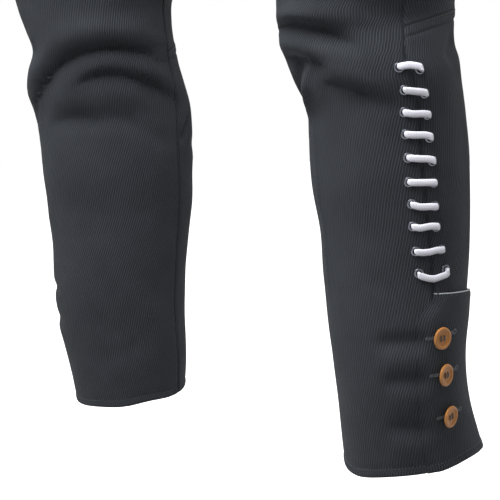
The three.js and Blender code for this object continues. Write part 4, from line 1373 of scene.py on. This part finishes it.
class JODHPURS_OT_buttons(PieceOperator):
    """Turns the wooden buttons and sews them on the cuff tabs and the waistband"""

    bl_idname = "jodhpurs.buttons"
    bl_label = "Buttons"

    SIDES = 56
    HOLE_SPREAD = 1.75
    HOLE_SIDES = 14
    LEANS = (8, 16, 13)  # degrees by which the cuff's buttons lean towards the back
    SHANK = 0.8  # how far the thread holds them off the tab
    # The thread's bars: share of the way from the middle to a hole, and height over the button's floor.
    ARCH = ((-1, -1.4), (-1, 0), (-0.7, 0.55), (0, 0.7), (0.7, 0.55), (1, 0), (1, -1.4))
    BAR = (0.62, 0.5)  # half their width and thickness

    def execute(self, context):
        settings = context.scene.jodhpurs_buttons
        for side in SIDES:
            for i, (level, angle) in enumerate(CUFF_BUTTONS):
                seat = Seat(side, beside(side, level, angle), level, tab_lift(angle) + self.SHANK)
                lean = math.radians(self.LEANS[i])
                out = unit(seat.out * math.cos(lean) + seat.around * math.sin(lean))
                self.button(context, settings, f"cuff_button_{side}_{i + 1}", seat.place, seat.up, out)
        middle = (BAND_BOTTOM + LENGTH) / 2
        place = waist_place(0, middle, BAND["lift"] + SEAM)
        up, out = np.array([0, 0, 1.0]), np.array([0, -1.0, 0])
        self.button(context, settings, "waist_button", place, up, out)
        return {"FINISHED"}

    def profile(self, settings):
        """The button's section: a rounded rim round a dished face."""
        radius, thick = settings.diameter / MM / 2, settings.thickness / MM
        return [
            (0, 0), (0.35 * radius, 0.02), (0.7 * radius, 0.12 * thick), (0.93 * radius, 0.30 * thick),
            (radius, 0.48 * thick), (radius, 0.66 * thick), (0.965 * radius, 0.88 * thick),
            (0.90 * radius, 0.985 * thick), (0.82 * radius, thick), (0.75 * radius, 0.95 * thick),
            (0.70 * radius, 0.80 * thick), (0.64 * radius, 0.70 * thick), (0.5 * radius, 0.655 * thick),
            (0.25 * radius, 0.64 * thick), (0, 0.64 * thick),
        ]

    def button(self, context, settings, node, place, up, out):
        finish = material("wood", wood_finish, settings)
        places, faces = lathe(self.profile(settings), self.SIDES)
        piece = mesh_object(f"{node}_wood", places, faces, finish)
        self.drill(piece, settings)
        mesh = piece.data
        corners = np.empty(len(mesh.loops), np.int32)
        mesh.loops.foreach_get("vertex_index", corners)
        flat = np.empty(3 * len(mesh.vertices), np.float32)
        mesh.vertices.foreach_get("co", flat)
        layer = mesh.uv_layers.get("grain") or mesh.uv_layers.new(name="grain")
        layer.data.foreach_set("uv", flat.reshape(-1, 3)[corners][:, :2].ravel())
        right = np.cross(up, out)
        seat = Matrix([[*column] for column in (right, up, out)]).transposed().to_4x4()
        seat.translation = Vector(place) * MM
        mesh.transform(seat)
        mesh.shade_smooth()
        mesh.set_sharp_from_angle(angle=math.radians(55))
        self.hand_over(piece, "button", node)
        self.thread(context, settings, node, seat)

    def drill(self, piece, settings):
        """Cuts the four holes."""
        places, faces = [], []
        radius = settings.hole / MM / 2
        drill, walls = lathe([(0, -2), (radius, -2), (radius, 6), (0, 6)], self.HOLE_SIDES)
        for x in (-self.HOLE_SPREAD, self.HOLE_SPREAD):
            for y in (-self.HOLE_SPREAD, self.HOLE_SPREAD):
                faces += [[corner + len(places) for corner in wall] for wall in walls]
                places += (drill + [x, y, 0]).tolist()
        cutter = mesh_object(f"{piece.name}_drill", places, faces, piece.data.materials[0])
        cut = piece.modifiers.new("drill", "BOOLEAN")
        cut.operation = "DIFFERENCE"
        cut.solver = "EXACT"
        cut.object = cutter
        evaluated = piece.evaluated_get(bpy.context.evaluated_depsgraph_get())
        drilled = bpy.data.meshes.new_from_object(evaluated)
        piece.modifiers.clear()
        piece.data = drilled
        bpy.data.objects.remove(cutter)

    def thread(self, context, settings, node, seat):
        """Two bars of thread, from hole to hole."""
        floor = 0.64 * settings.thickness / MM
        places, faces, half = [], [], self.HOLE_SPREAD
        for x in (-half, half):
            line = [[x, share * half, floor + rise, 1, 0, 0, *self.BAR] for share, rise in self.ARCH]
            bar = sweep(f"{node}_bar", dense(line, 0.3), 8, thread_material(context))
            faces += [[corner + len(places) for corner in face.vertices] for face in bar.data.polygons]
            places += [vertex.co[:] for vertex in bar.data.vertices]
            bpy.data.objects.remove(bar)
        piece = mesh_object(f"{node}_thread", np.array(places) / MM, faces, thread_material(context))
        piece.data.transform(seat)
        self.hand_over(piece, "button")


class JODHPURS_OT_buttonholes(PieceOperator):
    """Works the keyhole buttonholes under the buttons"""

    bl_idname = "jodhpurs.buttonholes"
    bl_label = "Buttonholes"

    START, NECK, EYE = -10.0, 11.6, 14.2  # along the hole from the button's middle
    HALF = 0.7  # half the slot
    EYE_RADIUS = 1.7
    LIFT = 0.25
    RISE = 1.0  # how far the hole lies above the button's middle
    POINTS = 40

    def outline(self):
        """The line round which the stitches lie: along one side of the slot, round the eye and back."""
        turn = np.linspace(math.radians(205), math.radians(-205), self.POINTS)
        eye = -self.EYE_RADIUS * np.stack([np.cos(turn), np.sin(turn)], axis=1) + [self.EYE, 0]
        eye = eye[eye[:, 0] > self.NECK + 0.6]
        eye = eye[np.argsort(-np.arctan2(eye[:, 1], eye[:, 0] - self.EYE))]
        along = np.linspace(self.START, self.NECK + 0.6, self.POINTS)
        side = np.full(self.POINTS, self.HALF)
        upper = np.stack([along, side], axis=1)
        lower = np.stack([along[::-1], -side], axis=1)
        bar = np.array([(self.START, y) for y in np.linspace(-self.HALF, self.HALF, 4)])
        return np.concatenate([upper, eye, lower, bar])

    def execute(self, context):
        stitches = context.scene.jodhpurs_stitches
        outline = self.outline()
        travelled = travel(outline)
        line = places_at(np.arange(0, travelled[-1], stitches.purl / MM), travelled, outline)
        tangent = unit(np.gradient(line, axis=0))
        normal = np.stack([-tangent[:, 1], tangent[:, 0]], axis=1)
        finish = material("purl", thread_finish, stitches.purl_colour)
        for side in SIDES:
            places, along, out = [], [], []
            for level, angle in CUFF_BUTTONS:
                for (x, y), (nx, ny) in zip(line, normal):
                    high = level + self.RISE + y
                    round_to = angle + math.degrees(x / TAB["radius"])
                    lift = tab_lift(round_to) + self.LIFT
                    seat = Seat(side, beside(side, high, round_to), high, lift)
                    places.append(seat.place)
                    along.append(seat.around * nx + seat.up * ny)
                    out.append(seat.out)
            piece = grow(f"buttonholes_{side}", "beads", places, {"along": along, "out": out}, finish,
                         Length=0.0017, Thickness=0.00062)
            self.hand_over(piece, "twill")
        return {"FINISHED"}


class JODHPURS_OT_stitching(PieceOperator):
    """Sews the rows of stitches at the hems, the knee seams, the tabs and the waistband"""

    bl_idname = "jodhpurs.stitching"
    bl_label = "Stitching"

    POINTS = 160
    SUNK = -0.05  # how far the stitches lie over the cloth
    ENDS = {"front": (0.003, 0.497), "back": (0.503, 0.997)}  # turns between which they run

    def execute(self, context):
        settings = context.scene.jodhpurs_stitches
        finish = thread_material(context)
        hem = context.scene.jodhpurs_cloth.hem / MM
        for side in SIDES:
            rows = []
            for ends in self.ENDS.values():
                rows.append(self.on_cloth(side, np.linspace(*ends, self.POINTS), hem, -0.5 + self.SUNK))
            welt = np.linspace(*self.ENDS["back"], self.POINTS)
            rows.append(self.on_cloth(side, welt, risen(welt, KNEE_SEAM + KNEE_WELT - 1.5), 0.55))
            rows.append(self.on_tab(side, np.linspace(TAB["front"] + 3, TAB["back"], 120), hem))
            self.stitch(f"stitches_{side}", rows, settings, finish)
        degrees = np.linspace(BAND["start"] + 1, BAND["end"] - 30, 500)
        rows = [self.on_band(degrees, level) for level in (BAND_BOTTOM + 4, LENGTH - 4)]
        self.stitch("stitches_waist", rows, settings, finish)
        return {"FINISHED"}

    @staticmethod
    def on_cloth(side, turns, level, lift):
        path = cloth(side, turns, level, lift)
        base = cloth(side, turns, level, lift - 1)
        return path, unit(path - base)

    def on_tab(self, side, angles, level):
        turns = beside(side, level, angles)
        return self.on_cloth(side, turns, level, tab_lift(angles) - 0.5 + self.SUNK)

    def on_band(self, degrees, level):
        path = waist_place(degrees, level, BAND["lift"] + self.SUNK)
        return path, unit(path - waist_place(degrees, level, BAND["lift"] - 1))

    def stitch(self, name, rows, settings, finish):
        stitches = [stitch_row(path, outs, settings.pitch / MM) for path, outs in rows]
        places, along, out = (np.concatenate(part) for part in zip(*stitches))
        piece = grow(name, "beads", places, {"along": along, "out": out}, finish,
                     Length=settings.length, Thickness=settings.thread)
        self.hand_over(piece, "twill")


class JODHPURS_OT_stage(bpy.types.Operator):
    """Sets up the floor, the light and the camera"""

    bl_idname = "jodhpurs.stage"
    bl_label = "Floor, light and camera"

    EYE = (725.0, -783.7, -679.0)
    AZIMUTH = 42.6
    DOWN = 5.8
    IMAGE = 500
    FOCUS = 1131  # focal length as a number of the image's pixels
    SENSOR = 36

    # Soft lights: name, azimuth and elevation as seen from the legs, distance, width and height in
    # metres, the setting that holds their power, and their share of it.
    KNEES = (60, -20, -680)
    LIGHTS = (
        ("key", 4, 54, 1.15, 0.7, 0.7, "key_power", 1.0),
        ("rim_left", -78, 12, 2.0, 0.8, 2.2, "rim_power", 0.4),
        ("rim_right", 165, 12, 2.0, 1.0, 2.2, "rim_power", 1.0),
    )

    def execute(self, context):
        settings = context.scene.jodhpurs_stage
        self.camera(context)
        self.floor(settings)
        for light in self.LIGHTS:
            self.light(settings, *light)
        self.world(context, settings)
        context.scene.view_settings.view_transform = "Standard"
        context.scene.view_settings.look = "None"
        return {"FINISHED"}

    def camera(self, context):
        data = bpy.data.cameras.new("camera")
        data.sensor_width = self.SENSOR
        data.lens = self.SENSOR * self.FOCUS / self.IMAGE
        camera = add_object("camera", data)
        camera.location = Vector(self.EYE) * MM
        azimuth = math.radians(self.AZIMUTH)
        down = math.radians(self.DOWN)
        view = Vector((-math.sin(azimuth) * math.cos(down), math.cos(azimuth) * math.cos(down),
                       -math.sin(down)))
        camera.rotation_euler = view.to_track_quat("-Z", "Y").to_euler()
        context.scene.camera = camera

    @staticmethod
    def floor(settings):
        made = Shader("floor", roughness=0.9)
        made.surface.inputs["Base Color"].default_value = (0.9, 0.9, 0.9, 1)
        made.surface.inputs["Emission Color"].default_value = (1, 1, 1, 1)
        made.surface.inputs["Emission Strength"].default_value = 0.75
        height = -LENGTH - settings.floor_drop / MM
        corners = [(x * FLOOR, y * FLOOR, height) for x, y in ((-1, -1), (1, -1), (1, 1), (-1, 1))]
        floor = mesh_object("floor", corners, [(0, 1, 2, 3)], made.material)
        floor.visible_diffuse = False

    def light(self, settings, name, azimuth, elevation, distance, width, height, power, share):
        data = bpy.data.lights.new(name, "AREA")
        data.shape = "RECTANGLE"
        data.size = width
        data.size_y = height
        data.energy = share * getattr(settings, power)
        light = add_object(name, data)
        a, e = math.radians(azimuth), math.radians(elevation)
        towards = Vector((math.sin(a) * math.cos(e), -math.cos(a) * math.cos(e), math.sin(e)))
        light.location = Vector(self.KNEES) * MM + towards * distance
        light.rotation_euler = towards.to_track_quat("Z", "Y").to_euler()
        light.visible_camera = False

    @staticmethod
    def world(context, settings):
        """Light from all round, stronger from above, against plain white."""
        world = context.scene.world or bpy.data.worlds.new("room")
        context.scene.world = world
        world.use_nodes = True
        made = Nodes(world.node_tree)
        made.tree.nodes.clear()
        place = made.node("ShaderNodeTexCoord").outputs["Generated"]
        height = made.node("ShaderNodeSeparateXYZ", Vector=place).outputs["Z"]
        power = made.node("ShaderNodeMapRange", Value=height, From_Min=-1, To_Min=0.05 * settings.room,
                          To_Max=1.6 * settings.room).outputs["Result"]
        light = made.node("ShaderNodeBackground", Strength=power)
        white = made.node("ShaderNodeBackground", Color=(1, 1, 1, 1))
        path = made.node("ShaderNodeLightPath")
        choice = made.node("ShaderNodeMixShader", Fac=path.outputs["Is Camera Ray"])
        made.feed(choice.inputs[1], light.outputs[0])
        made.feed(choice.inputs[2], white.outputs[0])
        made.node("ShaderNodeOutputWorld", Surface=choice.outputs[0])


OPERATORS = (
    JODHPURS_OT_stage,
    JODHPURS_OT_legs,
    JODHPURS_OT_tabs,
    JODHPURS_OT_waist,
    JODHPURS_OT_eyelets,
    JODHPURS_OT_laces,
    JODHPURS_OT_buttons,
    JODHPURS_OT_buttonholes,
    JODHPURS_OT_stitching,
)


class JODHPURS_PT_sidebar(bpy.types.Panel):
    """Lists the garment's operators and settings"""

    bl_label = "Jodhpurs"
    bl_space_type = "VIEW_3D"
    bl_region_type = "UI"
    bl_category = "Jodhpurs"

    def draw(self, context):
        for operator in OPERATORS:
            self.layout.operator(operator.bl_idname)
        for name, group in SETTINGS.items():
            box = self.layout.box()
            box.label(text=group.__doc__)
            for label in group.__annotations__:
                box.prop(getattr(context.scene, name), label)


CLASSES = (*SETTINGS.values(), *OPERATORS, JODHPURS_PT_sidebar)


def register():
    for made in CLASSES:
        bpy.utils.register_class(made)
    for name, group in SETTINGS.items():
        setattr(bpy.types.Scene, name, bpy.props.PointerProperty(type=group))


def unregister():
    for name in SETTINGS:
        delattr(bpy.types.Scene, name)
    for made in reversed(CLASSES):
        bpy.utils.unregister_class(made)


def main():
    register()
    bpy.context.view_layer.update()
    for operator in OPERATORS:
        getattr(bpy.ops.jodhpurs, operator.bl_idname.split(".")[1])()


if __name__ == "__main__":
    main()
